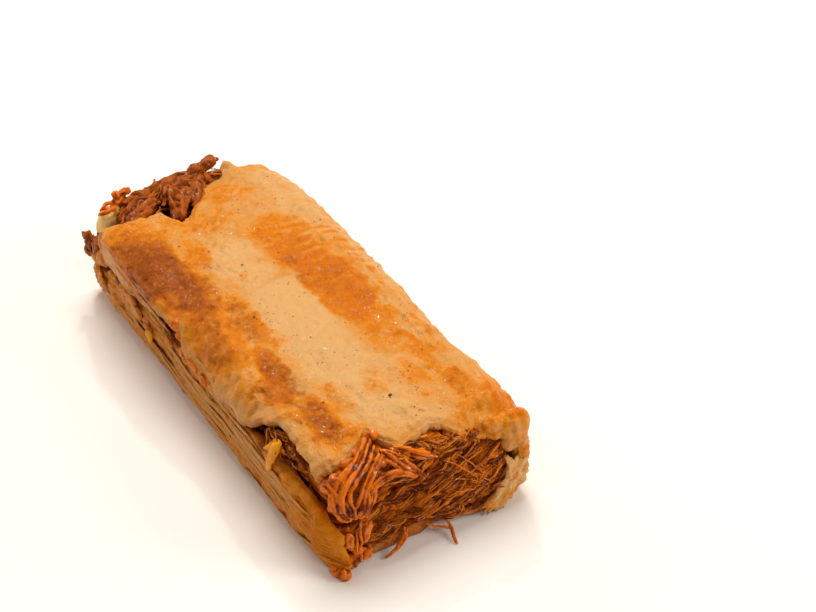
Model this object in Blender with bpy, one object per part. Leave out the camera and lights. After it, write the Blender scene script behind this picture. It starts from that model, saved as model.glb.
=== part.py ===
# A tamale out of its husk. A thick sheet of corn dough is wrapped once round a roll of
# shredded meat. Its flap comes over the top and ends on the left side, above the edge
# of the lower wrap, and the meat shows at both torn ends and through gaps in that seam.
#
# Frame: origin at the middle of the base, +Z up, the roll's length along Y, its seam
# on the -X side and its open, meaty end facing -Y.
#
# The jacket is drawn by its girth: the distance round the outside of a cross-section,
# clockwise as seen from the front, starting on the left wall at the height of the seam.

import bisect
import math

import bmesh
import bpy
from mathutils import Matrix, Vector, noise

MM = 0.001  # sizes below are in millimetres, meshes in metres

# The roll
WIDTH = 55.6
HEIGHT = 27.0
SEAM_HEIGHT = 15.5
CREST_RADIUS = 8.0
RIGHT_RADIUS = 9.0
RIGHT_FOOT_RADIUS = 7.0
LEFT_FOOT_RADIUS = 4.6

# The dough, and the play between two pieces that touch
TOP_THICKNESS = 3.8
RIGHT_THICKNESS = 5.0
BASE_THICKNESS = 3.6
LEFT_THICKNESS = 3.4
LIP_THICKNESS = 1.9
PLAY = 0.45
LUMPINESS = 0.45
LUMP_SIZE = 17.0
FLAP_LIFT = 0.9
RIM_FULLNESS = 1.5  # how much thicker the lower wrap's edge is where the front gap bares it

# The meat
HEART = (-0.5, 13.2)  # x and z of the roll's middle
FRONT_BULGE = 4.6
BACK_BULGE = 3.6
SHRED_ROUGHNESS = 1.5
HANG = 3.0  # how far meat hangs down over the front rim of the base
FACE_RINGS = ((0.98, 0.25), (0.95, 0.62), (0.86, 0.84), (0.72, 0.94), (0.56, 1.0), (0.38, 1.0),
              (0.2, 1.0))  # rings of the end faces: share of the roll's outline, share of the bulge

# How the roll changes along its length: (y, value) stations
LEFT_EDGE = [(-63.5, -25.4), (-57.0, -27.8), (-49.0, -28.2), (-15.0, -27.8), (20.0, -27.8), (48.0, -28.0),
             (63.5, -27.0)]
RIGHT_EDGE = [(-61.5, 26.2), (-50.0, 27.4), (-37.0, 26.8), (-29.5, 26.0), (-16.5, 26.8), (-6.0, 27.6),
              (13.0, 28.0), (45.0, 28.0), (63.5, 26.5)]
CROWN = [(-63.5, 25.4), (-52.0, 26.8), (-35.0, 27.0), (20.0, 27.0), (48.0, 26.8), (63.5, 25.6)]

# The seam: how far the flap's lip stops above the seam height, and the lower wrap's edge below it
LIP_RISE = [(-56.0, 7.0), (-53.6, 8.2), (-49.0, 10.2), (-36.0, 11.0), (-31.5, 8.0), (-27.0, 3.8), (-23.0, 1.9), (-15.0, 1.5),
            (-9.5, 0.1), (-4.5, -0.4), (0.0, 0.7), (7.5, 1.2), (11.5, 5.6), (19.0, 5.4), (23.5, 1.6),
            (44.0, 1.6), (55.0, 3.4)]
EDGE_DROP = [(-63.5, 6.5), (-60.0, 3.4), (-55.0, 0.8), (-50.0, -0.3), (-42.0, -1.2), (-31.0, -1.3),
             (-24.0, -1.1), (-15.0, -0.8), (-9.5, 0.9), (-4.5, 1.4), (0.0, 0.3), (18.0, 0.5), (24.0, -0.6),
             (36.0, 0.0), (44.0, 2.6), (55.0, 4.5), (63.5, 5.5)]

# The torn ends: (girth, y) stations round the jacket
FRONT_TEAR = [(0.0, -53.0), (8.0, -54.2), (12.0, -53.6), (18.0, -53.2), (21.0, -52.4), (23.4, -50.2), (25.7, -49.5),
              (28.0, -54.0), (30.2, -57.0), (34.0, -55.6), (39.0, -54.0), (42.0, -54.6), (46.0, -56.8), (51.0, -58.8),
              (59.0, -60.6), (70.0, -61.4), (74.0, -59.4), (77.0, -61.6), (84.0, -60.5), (91.0, -61.6),
              (96.0, -62.2), (99.5, -59.0), (104.0, -58.5), (111.0, -59.5), (117.0, -60.4), (130.0, -60.4),
              (134.0, -61.8), (140.0, -63.0), (145.0, -63.5), (150.0, -61.0)]
BACK_TEAR = [(0.0, 55.0), (6.0, 54.8), (12.0, 52.2), (20.0, 51.5), (23.6, 52.5), (24.8, 47.4), (26.8, 44.8),
             (29.8, 46.0), (32.0, 48.0), (35.0, 51.0), (37.6, 53.6), (38.8, 57.6), (45.0, 59.6), (49.0, 62.6),
             (51.5, 60.4),
             (58.0, 60.4), (64.0, 59.2), (72.0, 58.4), (80.0, 59.4), (95.0, 60.4), (120.0, 61.0),
             (138.0, 62.2), (145.0, 63.5), (150.0, 61.5)]

# The front right corner of the top, where thin dough droops over the meat
DROOP_DEPTH = 3.4
DROOP_LENGTH = 9.0

# The flap's crest juts out over the seam along the back half, and its torn back edge curls up at one place
CREST_GIRTH = 9.8
CREST_SPREAD = 6.3
CREST_JUT = (-2.3, 0.7)  # x and z
CURL_PLACE = (11.6, 61.5)
CURL_RISE = 2.4

# Meshing
TOP_STEP = 1.9
SIDE_STEP = 3.8
TOP_RUN = (5.0, 62.0)  # the stretch of girth that is stepped finely
JACKET_STATIONS = 28
MEAT_STEP = 3.6
MEAT_STATIONS = 18


def smooth(t):
    t = min(1.0, max(0.0, t))
    return t * t * (3.0 - 2.0 * t)


def along(stations, place):
    # A smooth line through (place, value) stations, flat at each of them
    if place <= stations[0][0]:
        return stations[0][1]
    for (p0, v0), (p1, v1) in zip(stations, stations[1:]):
        if place <= p1:
            return v0 + (v1 - v0) * smooth((place - p0) / (p1 - p0))
    return stations[-1][1]


def straight_along(stations, place):
    # The same stations joined by straight runs, for torn edges
    if place <= stations[0][0]:
        return stations[0][1]
    for (p0, v0), (p1, v1) in zip(stations, stations[1:]):
        if place <= p1:
            return v0 + (v1 - v0) * (place - p0) / (p1 - p0)
    return stations[-1][1]


def make_outline():
    # The cross-section as a fine polyline of (girth, x, z): straight walls and four round corners
    half = WIDTH / 2
    corners = [(-half + CREST_RADIUS, HEIGHT - CREST_RADIUS, CREST_RADIUS, 180),
               (half - RIGHT_RADIUS, HEIGHT - RIGHT_RADIUS, RIGHT_RADIUS, 90),
               (half - RIGHT_FOOT_RADIUS, RIGHT_FOOT_RADIUS, RIGHT_FOOT_RADIUS, 0),
               (-half + LEFT_FOOT_RADIUS, LEFT_FOOT_RADIUS, LEFT_FOOT_RADIUS, -90)]
    points = [(-half, SEAM_HEIGHT)]
    for x, z, radius, first_angle in corners:
        for step in range(19):
            angle = math.radians(first_angle - 5 * step)
            points.append((x + radius * math.cos(angle), z + radius * math.sin(angle)))
    points.append((-half, SEAM_HEIGHT))
    girth = 0.0
    outline = [(girth, *points[0])]
    for before, after in zip(points, points[1:]):
        girth += math.dist(before, after)
        outline.append((girth, *after))
    return outline


OUTLINE = make_outline()
GIRTHS = [row[0] for row in OUTLINE]
FULL_GIRTH = GIRTHS[-1]


def outline_at(girth):
    # x, z and the outward normal of the plain cross-section
    place = girth % FULL_GIRTH
    index = min(len(GIRTHS) - 1, max(1, bisect.bisect_left(GIRTHS, place)))
    g0, x0, z0 = OUTLINE[index - 1]
    g1, x1, z1 = OUTLINE[index]
    t = (place - g0) / (g1 - g0)
    run = Vector((x1 - x0, z1 - z0)).normalized()
    return x0 + (x1 - x0) * t, z0 + (z1 - z0) * t, -run.y, run.x


def droop(x, y):
    # How far the top sinks towards its front right corner
    forward = smooth((-y - (61.0 - DROOP_LENGTH)) / DROOP_LENGTH)
    sideways = smooth((x - 3.0) / 12.0)
    return DROOP_DEPTH * forward * sideways


def crest_jut(girth, y):
    # How much of the crest's jut a point takes: a ridge that lies lower towards the middle of the roll
    middle = CREST_GIRTH - 1.8 * smooth((36.0 - y) / 16.0)
    across = min(girth, abs(girth - FULL_GIRTH)) if girth < 20.0 else 99.0
    return max(0.0, 1.0 - abs(across - middle) / CREST_SPREAD) * smooth((y - 1.0) / 16.0)


def curl(x, y):
    # How far the back edge's curl rises
    return CURL_RISE * smooth(1.0 - abs(x - CURL_PLACE[0]) / 3.8) * smooth(1.0 - (CURL_PLACE[1] - y) / 5.0)


def skin_point(girth, y, depth, flap_lift=0.0):
    # A point at that depth under the jacket's outer face; the flap is lifted a little near its lip
    x, z, nx, nz = outline_at(girth)
    side = x / (WIDTH / 2)
    left, right = along(LEFT_EDGE, y), along(RIGHT_EDGE, y)
    reach = (left + right) / 2 + side * (right - left) / 2
    height = z * along(CROWN, y) / HEIGHT
    off_base = smooth(z / 8.0)
    lump = LUMPINESS * noise.noise(Vector((x, y * 0.8, z)) / LUMP_SIZE) * 2.0
    push = off_base * lump - depth
    push += flap_lift * smooth(1 - girth / 9)
    height -= droop(reach, y) * smooth((z - 6.0) / 16.0)
    height += curl(reach, y) * smooth((z - 20.0) / 5.0)
    jut = crest_jut(girth, y)
    reach += CREST_JUT[0] * jut
    height += CREST_JUT[1] * jut
    return Vector((reach + nx * push, y, height + nz * push)) * MM


def thickness(girth, y):
    stations = [(0.0, LIP_THICKNESS), (8.0, TOP_THICKNESS - 0.4), (20.0, TOP_THICKNESS),
                (48.0, TOP_THICKNESS), (66.0, RIGHT_THICKNESS), (78.0, RIGHT_THICKNESS),
                (92.0, BASE_THICKNESS), (132.0, BASE_THICKNESS), (144.0, LEFT_THICKNESS),
                (FULL_GIRTH - 1.0, LIP_THICKNESS + RIM_FULLNESS * smooth((-y - 24.0) / 8.0))]
    return along(stations, girth)


def girth_steps():
    # The jacket's lengthwise lines, as shares from the lip (0) to the lower edge (1): fine over the top
    steps = [0.0]
    girth = 0.0
    while girth < FULL_GIRTH - SIDE_STEP:
        girth += TOP_STEP if TOP_RUN[0] < girth < TOP_RUN[1] else SIDE_STEP
        steps.append(min(1.0, girth / FULL_GIRTH))
    steps[-1] = 1.0
    return steps


def jacket_girth(share, y):
    # The lip and the lower edge wander, and the lines between them spread evenly near those two edges
    lip = along(LIP_RISE, y)
    edge = FULL_GIRTH - along(EDGE_DROP, y)
    girth = share * FULL_GIRTH
    near_lip = smooth(1 - girth / 30)
    near_edge = smooth(1 - (FULL_GIRTH - girth) / 14)
    return girth + near_lip * lip + near_edge * (edge - FULL_GIRTH)


def station_shares(count):
    # Crosswise rows, closer together near the two ends
    return [0.5 - 0.5 * math.cos(math.pi * (0.1 + 0.8 * i / (count - 1))) for i in range(count)]


def spread(shares):
    low, high = shares[0], shares[-1]
    return [(s - low) / (high - low) for s in shares]


def add_grid(bm, rows, flip, close=False):
    # Faces between the rows of vertices, closed round each row if asked
    faces = []
    for row, following in zip(rows, rows[1:]):
        count = len(row)
        for i in range(count if close else count - 1):
            j = (i + 1) % count
            corners = [row[i], row[j], following[j], following[i]]
            faces.append(bm.faces.new(corners[::-1] if flip else corners))
    return faces


def finish_mesh(name, bm, material):
    bmesh.ops.recalc_face_normals(bm, faces=bm.faces)
    bmesh.ops.triangulate(bm, faces=bm.faces)
    mesh = bpy.data.meshes.new(name)
    bm.to_mesh(mesh)
    bm.free()
    mesh.materials.append(material)
    mesh.shade_smooth()
    mesh.set_sharp_from_angle(angle=math.radians(50))
    piece = bpy.data.objects.new(name, mesh)
    bpy.context.scene.collection.objects.link(piece)
    return piece


def make_material(name, colour, roughness):
    material = bpy.data.materials.new(name)
    material.use_nodes = True
    shader = material.node_tree.nodes["Principled BSDF"]
    shader.inputs["Base Color"].default_value = (*colour, 1.0)
    shader.inputs["Roughness"].default_value = roughness
    shader.inputs["Metallic"].default_value = 0.0
    return material


def make_jacket():
    # Outer and inner skins on one net of lines, joined along the lip, the lower edge and both tears
    bm = bmesh.new()
    shares = girth_steps()
    stations = spread(station_shares(JACKET_STATIONS))
    skins = []
    for inner in (False, True):
        rows = []
        for station in stations:
            row = []
            for share in shares:
                girth = share * FULL_GIRTH
                front, back = straight_along(FRONT_TEAR, girth), straight_along(BACK_TEAR, girth)
                y = front + (back - front) * station
                girth = jacket_girth(share, y)
                at_end = smooth(min(y - front, back - y) / 6.0)
                depth = thickness(girth, y) * (0.72 + 0.28 * at_end) if inner else 0.0
                row.append(bm.verts.new(skin_point(girth, y, depth, FLAP_LIFT)))
            rows.append(row)
        skins.append(rows)
    outer, inner = skins
    add_grid(bm, outer, flip=False)
    add_grid(bm, inner, flip=True)
    add_grid(bm, [[row[0] for row in outer], [row[0] for row in inner]], flip=False)
    add_grid(bm, [[row[-1] for row in outer], [row[-1] for row in inner]], flip=True)
    add_grid(bm, [outer[0], inner[0]], flip=True)
    add_grid(bm, [outer[-1], inner[-1]], flip=False)
    return finish_mesh("masa", bm, make_material("masa", (0.755, 0.387, 0.121), 0.42))


def meat_depth(girth, y):
    # The meat fills the jacket, and swells into the seam's two gaps
    depth = thickness(girth, y) + PLAY
    across = girth if girth < FULL_GIRTH / 2 else girth - FULL_GIRTH
    side_gap = smooth(1 - abs(across - 3.2) / 2.6) * smooth(1 - abs(y - 15.5) / 4.5)
    front_gap = smooth(1 - abs(across - 6.4) / 4.2) * smooth(1 - max(0.0, y + 37.0) / 7.0)
    behind_rim = smooth((-y - 22.0) / 8.0) * smooth(1.8 * (1 - abs(across - 1.0) / 5.5))
    back_hollow = smooth(1 - abs(across) / 7.0) * smooth((y - 45.0) / 5.0)
    under_droop = smooth((-y - 48.0) / 6.0) * smooth(1.5 * (1 - abs(girth - 58.0) / 14.0))
    return depth - 1.4 * side_gap - 1.2 * front_gap + 1.9 * behind_rim + 2.0 * back_hollow + 0.5 * under_droop


def shredding(x, z, end):
    # Layers of fibre across the end faces, rising gently to one side
    return SHRED_ROUGHNESS * noise.noise(Vector(((x + 2.0 * z) * 0.09, (z - 0.22 * x) * 0.3, 5.0 * end)))


def end_of_meat(girth, front):
    # Where the meat's end face starts: it leans back towards the top, under the torn dough
    x, z, _, _ = outline_at(girth)
    if front:
        return -57.4 + 1.8 * smooth((z - 8.0) / 20.0) + 2.2 * smooth((-x - 8.0) / 18.0)
    left_corner = smooth((-x - 15.0) / 7.0) * smooth((z - 9.0) / 7.0)
    return 57.4 - 0.8 * smooth((z - 8.0) / 20.0) - 4.4 * left_corner


def hanging(x, z):
    # How far the front face's lower edge drops, over the base's torn front
    return HANG * smooth(1.6 * (1 - abs(x - 7.4) / 5.6)) * smooth((11.0 - z) / 7.0)


def make_filling():
    # A roll of meat from end to end, with a swollen, uneven face at each end
    bm = bmesh.new()
    count = int(FULL_GIRTH / MEAT_STEP)
    girths = [FULL_GIRTH * i / count for i in range(count)]
    rows = []
    for share in spread(station_shares(MEAT_STATIONS)):
        row = []
        for girth in girths:
            front, back = end_of_meat(girth, True), end_of_meat(girth, False)
            y = front + (back - front) * share
            row.append(bm.verts.new(skin_point(girth, y, meat_depth(girth, y))))
        rows.append(row)
    faces_of_roll = ((rows[0], -1.0, FRONT_BULGE), (rows[-1], 1.0, BACK_BULGE))
    for edge, direction, bulge in faces_of_roll:
        rings = [edge]
        for scale, forward in FACE_RINGS:
            ring = []
            for vertex in edge:
                x = HEART[0] + (vertex.co.x / MM - HEART[0]) * scale
                z = HEART[1] + (vertex.co.z / MM - HEART[1]) * scale
                swell = bulge * forward + shredding(x, z, direction) * smooth(4 * (1 - scale))
                drop = hanging(x, z) * smooth(2 * forward - 0.3) if direction < 0 else 0.0
                ring.append(bm.verts.new(Vector((x, vertex.co.y / MM + direction * swell, z - drop)) * MM))
            rings.append(ring)
        add_grid(bm, rings, flip=direction > 0, close=True)
        middle = sum((v.co for v in rings[-1]), Vector()) / count
        tip = bm.verts.new(middle)
        for i in range(count):
            bm.faces.new((rings[-1][i], rings[-1][(i + 1) % count], tip))
    add_grid(bm, rows, flip=False, close=True)
    return finish_mesh("filling", bm, make_material("filling", (0.22, 0.05, 0.006), 0.45))


def make_shred(name, path, sizes, colour, sides=9, seed=0.0):
    # A lump or strip of food swept along its path: sizes are (half width, half height) at each point
    bm = bmesh.new()
    points = [Vector(p) for p in path]
    rows = []
    side = None
    for i, point in enumerate(points):
        run = (points[min(i + 1, len(points) - 1)] - points[max(i - 1, 0)]).normalized()
        side = run.cross(Vector((0, 0, 1))) if side is None else side - run * side.dot(run)
        side.normalize()
        up = side.cross(run)
        row = []
        for k in range(sides):
            angle = 2 * math.pi * k / sides
            rough = 1.0 + 0.16 * noise.noise(Vector((k * 1.7 + seed, i * 0.9, seed)))
            wide, high = sizes[i]
            offset = side * (wide * rough * math.cos(angle)) + up * (high * rough * math.sin(angle))
            row.append(bm.verts.new((point + offset) * MM))
        rows.append(row)
    add_grid(bm, rows, flip=False, close=True)
    bm.faces.new(rows[0][::-1])
    bm.faces.new(rows[-1])
    return finish_mesh(name, bm, make_material(name, colour, 0.4))


def make_shreds():
    meat = (0.30, 0.06, 0.005)
    make_shred("back_meat",
               [(-19.2, 60.6, 25.2), (-18.2, 60.9, 25.4), (-16.4, 61.1, 25.8), (-13.0, 60.6, 25.2),
                (-9.0, 61.0, 25.6), (-4.0, 61.4, 26.0), (0.5, 61.6, 26.6), (4.4, 61.8, 27.6),
                (6.8, 62.0, 28.6), (8.6, 62.0, 29.0)],
               [(0.7, 0.6), (1.9, 1.8), (2.5, 2.6), (1.9, 2.0), (1.7, 2.0), (1.7, 2.1), (1.8, 2.1),
                (1.8, 2.3), (1.6, 2.1), (0.6, 0.8)],
               meat, seed=1.0)
    make_shred("notch_meat",
               [(-8.4, 46.4, 25.4), (-8.2, 47.6, 25.7), (-6.9, 50.2, 26.2), (-5.3, 52.8, 26.6),
                (-4.3, 55.2, 26.7), (-3.6, 57.2, 26.4), (-3.3, 58.4, 26.0)],
               [(0.4, 0.4), (1.3, 1.4), (2.5, 2.2), (3.4, 2.6), (3.6, 2.6), (2.9, 1.9), (1.4, 0.7)],
               meat, seed=4.0)
    make_shred("corner_meat",
               [(-20.6, 53.6, 23.2), (-19.6, 53.9, 23.5), (-17.6, 54.7, 24.0), (-15.0, 55.9, 24.5),
                (-12.8, 57.0, 24.4), (-11.8, 57.6, 24.2)],
               [(0.5, 0.5), (1.4, 1.3), (1.9, 1.9), (1.7, 2.1), (1.2, 1.5), (0.4, 0.5)],
               meat, seed=9.0)
    make_shred("side_meat",
               [(-25.4, 56.4, 14.8), (-25.9, 57.4, 15.0), (-26.4, 59.4, 15.6), (-26.9, 61.2, 16.1),
                (-27.4, 62.6, 16.5), (-27.7, 63.4, 16.8)],
               [(0.4, 0.7), (1.4, 2.4), (1.9, 3.5), (1.8, 3.1), (1.2, 1.9), (0.4, 0.6)],
               meat, seed=7.0)
    make_shred("meat_fold",
               [(-21.6, -55.4, 26.6), (-22.2, -58.2, 24.6), (-22.8, -60.2, 21.6), (-22.6, -61.2, 18.4),
                (-21.4, -61.6, 16.2), (-19.6, -61.5, 16.8), (-18.2, -60.8, 19.8), (-16.6, -59.8, 22.8),
                (-14.2, -58.6, 24.8), (-12.0, -56.6, 26.0)],
               [(0.7, 0.7), (1.5, 1.2), (1.8, 1.3), (1.6, 1.2), (1.4, 1.2), (1.2, 1.1), (1.2, 1.1),
                (1.3, 1.1), (1.2, 1.0), (0.5, 0.5)],
               (0.375, 0.068, 0.003), sides=8, seed=11.0)
    make_shred("yellow_scrap",
               [(-23.9, 59.2, 19.2), (-23.6, 59.4, 20.0), (-23.1, 59.6, 22.0), (-22.5, 59.7, 24.2),
                (-22.0, 59.8, 26.2), (-21.8, 59.8, 27.2)],
               [(0.9, 1.3), (1.7, 2.4), (2.1, 2.9), (2.0, 2.4), (1.5, 1.7), (0.7, 0.7)],
               (0.80, 0.37, 0.06), seed=15.0)
    make_shred("loose_shred",
               [(3.4, -63.4, 1.5), (3.1, -64.4, 1.05), (2.7, -65.6, 0.75), (2.4, -66.8, 0.6), (2.2, -67.8, 0.5)],
               [(0.25, 0.25), (0.45, 0.42), (0.48, 0.44), (0.42, 0.38), (0.22, 0.2)],
               (0.375, 0.068, 0.003), sides=8, seed=19.0)


def centre_over_origin():
    pieces = [piece for piece in bpy.data.objects if piece.type == "MESH"]
    corners = [vertex.co for piece in pieces for vertex in piece.data.vertices]
    middle_x = (min(c.x for c in corners) + max(c.x for c in corners)) / 2
    middle_y = (min(c.y for c in corners) + max(c.y for c in corners)) / 2
    for piece in pieces:
        piece.data.transform(Matrix.Translation((-middle_x, -middle_y, 0.0)))


def build():
    for old in list(bpy.data.objects):
        bpy.data.objects.remove(old)
    make_jacket()
    make_filling()
    make_shreds()
    centre_over_origin()


build()
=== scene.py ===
import random
from math import cos, dist, hypot, pi, radians, sin, sqrt

import bmesh
import bpy
from mathutils import Matrix, Vector, noise
from mathutils.bvhtree import BVHTree


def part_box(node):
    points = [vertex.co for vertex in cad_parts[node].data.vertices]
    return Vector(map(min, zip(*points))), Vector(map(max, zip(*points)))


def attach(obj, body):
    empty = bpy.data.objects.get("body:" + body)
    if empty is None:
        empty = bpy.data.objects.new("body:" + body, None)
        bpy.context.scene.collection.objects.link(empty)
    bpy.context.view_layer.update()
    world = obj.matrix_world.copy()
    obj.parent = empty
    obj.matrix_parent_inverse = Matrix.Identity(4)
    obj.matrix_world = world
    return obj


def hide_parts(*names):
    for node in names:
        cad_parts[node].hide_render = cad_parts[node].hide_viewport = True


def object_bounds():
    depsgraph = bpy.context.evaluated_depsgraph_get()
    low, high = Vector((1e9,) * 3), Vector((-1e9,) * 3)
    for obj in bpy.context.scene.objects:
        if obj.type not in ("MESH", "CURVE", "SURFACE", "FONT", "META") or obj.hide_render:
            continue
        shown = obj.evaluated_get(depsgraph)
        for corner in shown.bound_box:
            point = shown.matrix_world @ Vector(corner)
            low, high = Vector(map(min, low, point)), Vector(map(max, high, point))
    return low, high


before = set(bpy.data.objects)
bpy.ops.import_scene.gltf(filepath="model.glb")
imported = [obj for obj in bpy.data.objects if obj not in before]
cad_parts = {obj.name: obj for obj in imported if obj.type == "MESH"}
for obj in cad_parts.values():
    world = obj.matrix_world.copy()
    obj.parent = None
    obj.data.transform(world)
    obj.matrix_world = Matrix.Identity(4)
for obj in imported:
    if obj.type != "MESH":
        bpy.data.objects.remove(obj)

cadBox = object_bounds()
mm = 0.001  # lengths below are in millimetres
scene = bpy.context.scene
scene.view_settings.view_transform = "Standard"

# pieces are shaped about a roll whose dough has its middle at modelMiddle, then moved to the record's dough
modelMiddle = Vector((-0.11, -0.07, 0))
doughLow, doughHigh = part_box("masa")
shift = (doughLow + doughHigh) / (2 * mm) - modelMiddle
shift.z = 0
floorGap = 0.02  # how far above the floor the lowest points stay


def smooth(t):
    t = min(1, max(0, t))
    return t * t * (3 - 2 * t)


def ramp(low, high, value):  # 0 below low, 1 above high
    return smooth((value - low) / (high - low))


def band(low, high, soft, value):  # 1 between low and high, fading over soft
    return ramp(low - soft, low, value) * (1 - ramp(high, high + soft, value))


def along(stations, place, curved=True):  # value at place on a line through (place, value) stations
    if place <= stations[0][0]:
        return stations[0][1]
    for (p0, v0), (p1, v1) in zip(stations, stations[1:]):
        if place <= p1:
            t = (place - p0) / (p1 - p0)
            return v0 + (v1 - v0) * (smooth(t) if curved else t)
    return stations[-1][1]


def evenly(values, t):  # value at t, from 0 to 1, between evenly spaced values
    return along([(i / (len(values) - 1), value) for i, value in enumerate(values)], t)


def grain(size, seed, x, y=0, z=0):  # noise from about -1 to 1, with lumps of that size
    return noise.noise(Vector((x / size + seed * 7.31, y / size - seed * 3.17, z / size + seed)))


def fibre(point, run, size, seed):  # noise drawn out along run
    return grain(size, seed, *(point - run * (0.86 * point.dot(run))))


def anyWay(rng):
    return Vector([rng.gauss(0, 1) for _ in range(3)])


def added(name, data):  # a new object in the scene
    made = bpy.data.objects.new(name, data)
    scene.collection.objects.link(made)
    return made


# colour layers for real stains, and also for painted shade in hollows, troughs, fold valleys and under leaves
def stainAndShadeLayers(bm):
    return {name: bm.verts.layers.float.new(name) for name in ("oil", "deep", "pale", "side")}


# tone: each piece's own random tone, plus painted shade in hollows and painted light on bumps
def toneLayer(bm):
    return bm.verts.layers.float.new("tone")


def openEdges(bm):
    return [edge for edge in bm.edges if edge.is_boundary]


def swell(vertex, amount):
    vertex.co += vertex.normal * mm * amount


# sets a vertex's colour layers, for real stains and painted shade alike
def mark(vertex, layers, **amounts):
    for name, amount in amounts.items():
        vertex[layers[name]] = amount


def pieceFrom(bm, name, material, replaced=()):
    bmesh.ops.translate(bm, verts=bm.verts, vec=shift * mm)
    low, high = cadBox
    for vertex in bm.verts:
        for axis in range(3):
            vertex.co[axis] = min(max(vertex.co[axis], low[axis]), high[axis])
    mesh = bpy.data.meshes.new(name)
    bm.to_mesh(mesh)
    bm.free()
    mesh.shade_smooth()
    mesh.materials.append(material)
    piece = added(name, mesh)
    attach(piece, "root")
    if replaced:
        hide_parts(*replaced)
    print(name, len(mesh.polygons), "faces")


class Value:  # a socket, so that shader sums read as plain sums
    def __init__(self, tree, socket):
        self.tree = tree
        self.socket = socket

    def math(self, operation, other, flip=False):
        node = self.tree.nodes.new("ShaderNodeMath")
        node.operation = operation
        for socket, item in zip(node.inputs, (other, self) if flip else (self, other)):
            if isinstance(item, Value):
                self.tree.links.new(item.socket, socket)
            else:
                socket.default_value = item
        return Value(self.tree, node.outputs[0])

    def __add__(self, other):
        return self.math("ADD", other)

    __radd__ = __add__

    def __mul__(self, other):
        return self.math("MULTIPLY", other)

    __rmul__ = __mul__

    def __sub__(self, other):
        return self.math("SUBTRACT", other)

    def __rsub__(self, other):
        return self.math("SUBTRACT", other, flip=True)

    def __truediv__(self, other):
        return self.math("DIVIDE", other)

    def clamped(self):
        node = self.tree.nodes.new("ShaderNodeClamp")
        self.tree.links.new(self.socket, node.inputs[0])
        return Value(self.tree, node.outputs[0])

    def above(self, low, high):  # 0 below low, 1 above high
        return ((self - low) / (high - low)).clamped()


class Finish:  # one procedural material
    def __init__(self, name, gloss, soft=0, radius=(1, 0.25, 0.08), scale=0.001):
        self.material = bpy.data.materials.new(name)
        self.material.use_nodes = True
        self.tree = self.material.node_tree
        self.place = self.node("ShaderNodeTexCoord").outputs["Object"]
        self.shade({"IOR": 1.42, "Specular IOR Level": gloss, "Coat Roughness": 0.06,
                    "Subsurface Weight": soft, "Subsurface Radius": radius, "Subsurface Scale": scale})

    def fill(self, node, values):  # sets or links a node's sockets
        for key, value in values.items():
            socket = node.inputs[key]
            if isinstance(value, Value):
                value = value.socket
            if isinstance(value, bpy.types.NodeSocket):
                self.tree.links.new(value, socket)
            else:
                socket.default_value = (*value, 1) if socket.type == "RGBA" else value
        return node

    def shade(self, values):
        self.fill(self.tree.nodes["Principled BSDF"], values)

    def node(self, kind, settings={}, values={}):
        made = self.tree.nodes.new(kind)
        for key, value in settings.items():
            setattr(made, key, value)
        return self.fill(made, values)

    def noise(self, size, detail=3, roughness=0.55, distortion=0):
        values = {"Vector": self.place, "Scale": 1 / (size * mm), "Detail": detail, "Roughness": roughness,
                  "Distortion": distortion}
        return Value(self.tree, self.node("ShaderNodeTexNoise", values=values).outputs["Fac"])

    def spots(self, size):
        values = {"Vector": self.place, "Scale": 1 / (size * mm)}
        return Value(self.tree, self.node("ShaderNodeTexVoronoi", values=values).outputs["Distance"])

    def attribute(self, name):
        return Value(self.tree, self.node("ShaderNodeAttribute", {"attribute_name": name}).outputs["Fac"])

    def mix(self, first, second, share):
        values = {"Factor": share, 6: first, 7: second}
        return self.node("ShaderNodeMix", {"data_type": "RGBA"}, values).outputs[2]

    def bump(self, height, distance, strength):
        values = {"Height": height, "Distance": distance * mm, "Strength": strength}
        return self.node("ShaderNodeBump", values=values).outputs[0]


# the roll's cross-section is drawn by girth: the distance round it, clockwise from the seam on the left
roll = {
    "crestRadius": 8, "rightRadius": 9, "rightFoot": 7, "leftFoot": 4.6,
    "width": 55.6, "height": 27, "seamHeight": 15.5, "middle": (0.28, 0.03),
    "leftEdge": [(-63.5, -25.4), (-57, -27.8), (-49, -28.2), (-15, -27.8), (20, -27.8), (48, -28),
        (63.5, -27)],
    "rightEdge": [(-61.5, 26.2), (-50, 27.4), (-37, 26.8), (-29.5, 26), (-16.5, 26.8), (-6, 27.6), (13, 28),
        (45, 28), (63.5, 26.5)],
    "crown": [(-63.5, 25.4), (-52, 26.8), (-35, 27), (20, 27), (48, 26.8), (63.5, 25.6)],
    # the flap's crest juts out along the back half
    "crestGirth": 9.8, "crestSpread": 6.3, "crestJut": (-2.3, 0.7),
    "curl": (11.9, 61.5, 2.4),  # x, y and height of the back edge's curl
}


def outlineTable():
    half, seam = roll["width"] / 2, roll["seamHeight"]
    points = [(-half, seam)]
    for corner, sideways, atTop, first in (("crestRadius", -1, True, 180), ("rightRadius", 1, True, 90),
                                           ("rightFoot", 1, False, 0), ("leftFoot", -1, False, -90)):
        radius = roll[corner]
        x, z = sideways * (half - radius), roll["height"] - radius if atTop else radius
        for step in range(31):
            angle = radians(first - 3 * step)
            points.append((x + radius * cos(angle), z + radius * sin(angle)))
    points.append((-half, seam))
    rows, girth = [(0, *points[0])], 0
    for before, after in zip(points, points[1:]):
        girth += dist(before, after)
        rows.append((girth, *after))
    return rows


outline = outlineTable()
fullGirth = outline[-1][0]
outlineSteps = 2000
outlineFine = []  # x, z and outward normal at even steps of girth
for k in range(outlineSteps):
    place = fullGirth * k / outlineSteps
    for (g0, x0, z0), (g1, x1, z1) in zip(outline, outline[1:]):
        if place < g1:
            share = (place - g0) / (g1 - g0)
            run = Vector((x1 - x0, z1 - z0)).normalized()
            outlineFine.append((x0 + (x1 - x0) * share, z0 + (z1 - z0) * share, -run.y, run.x))
            break


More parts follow.
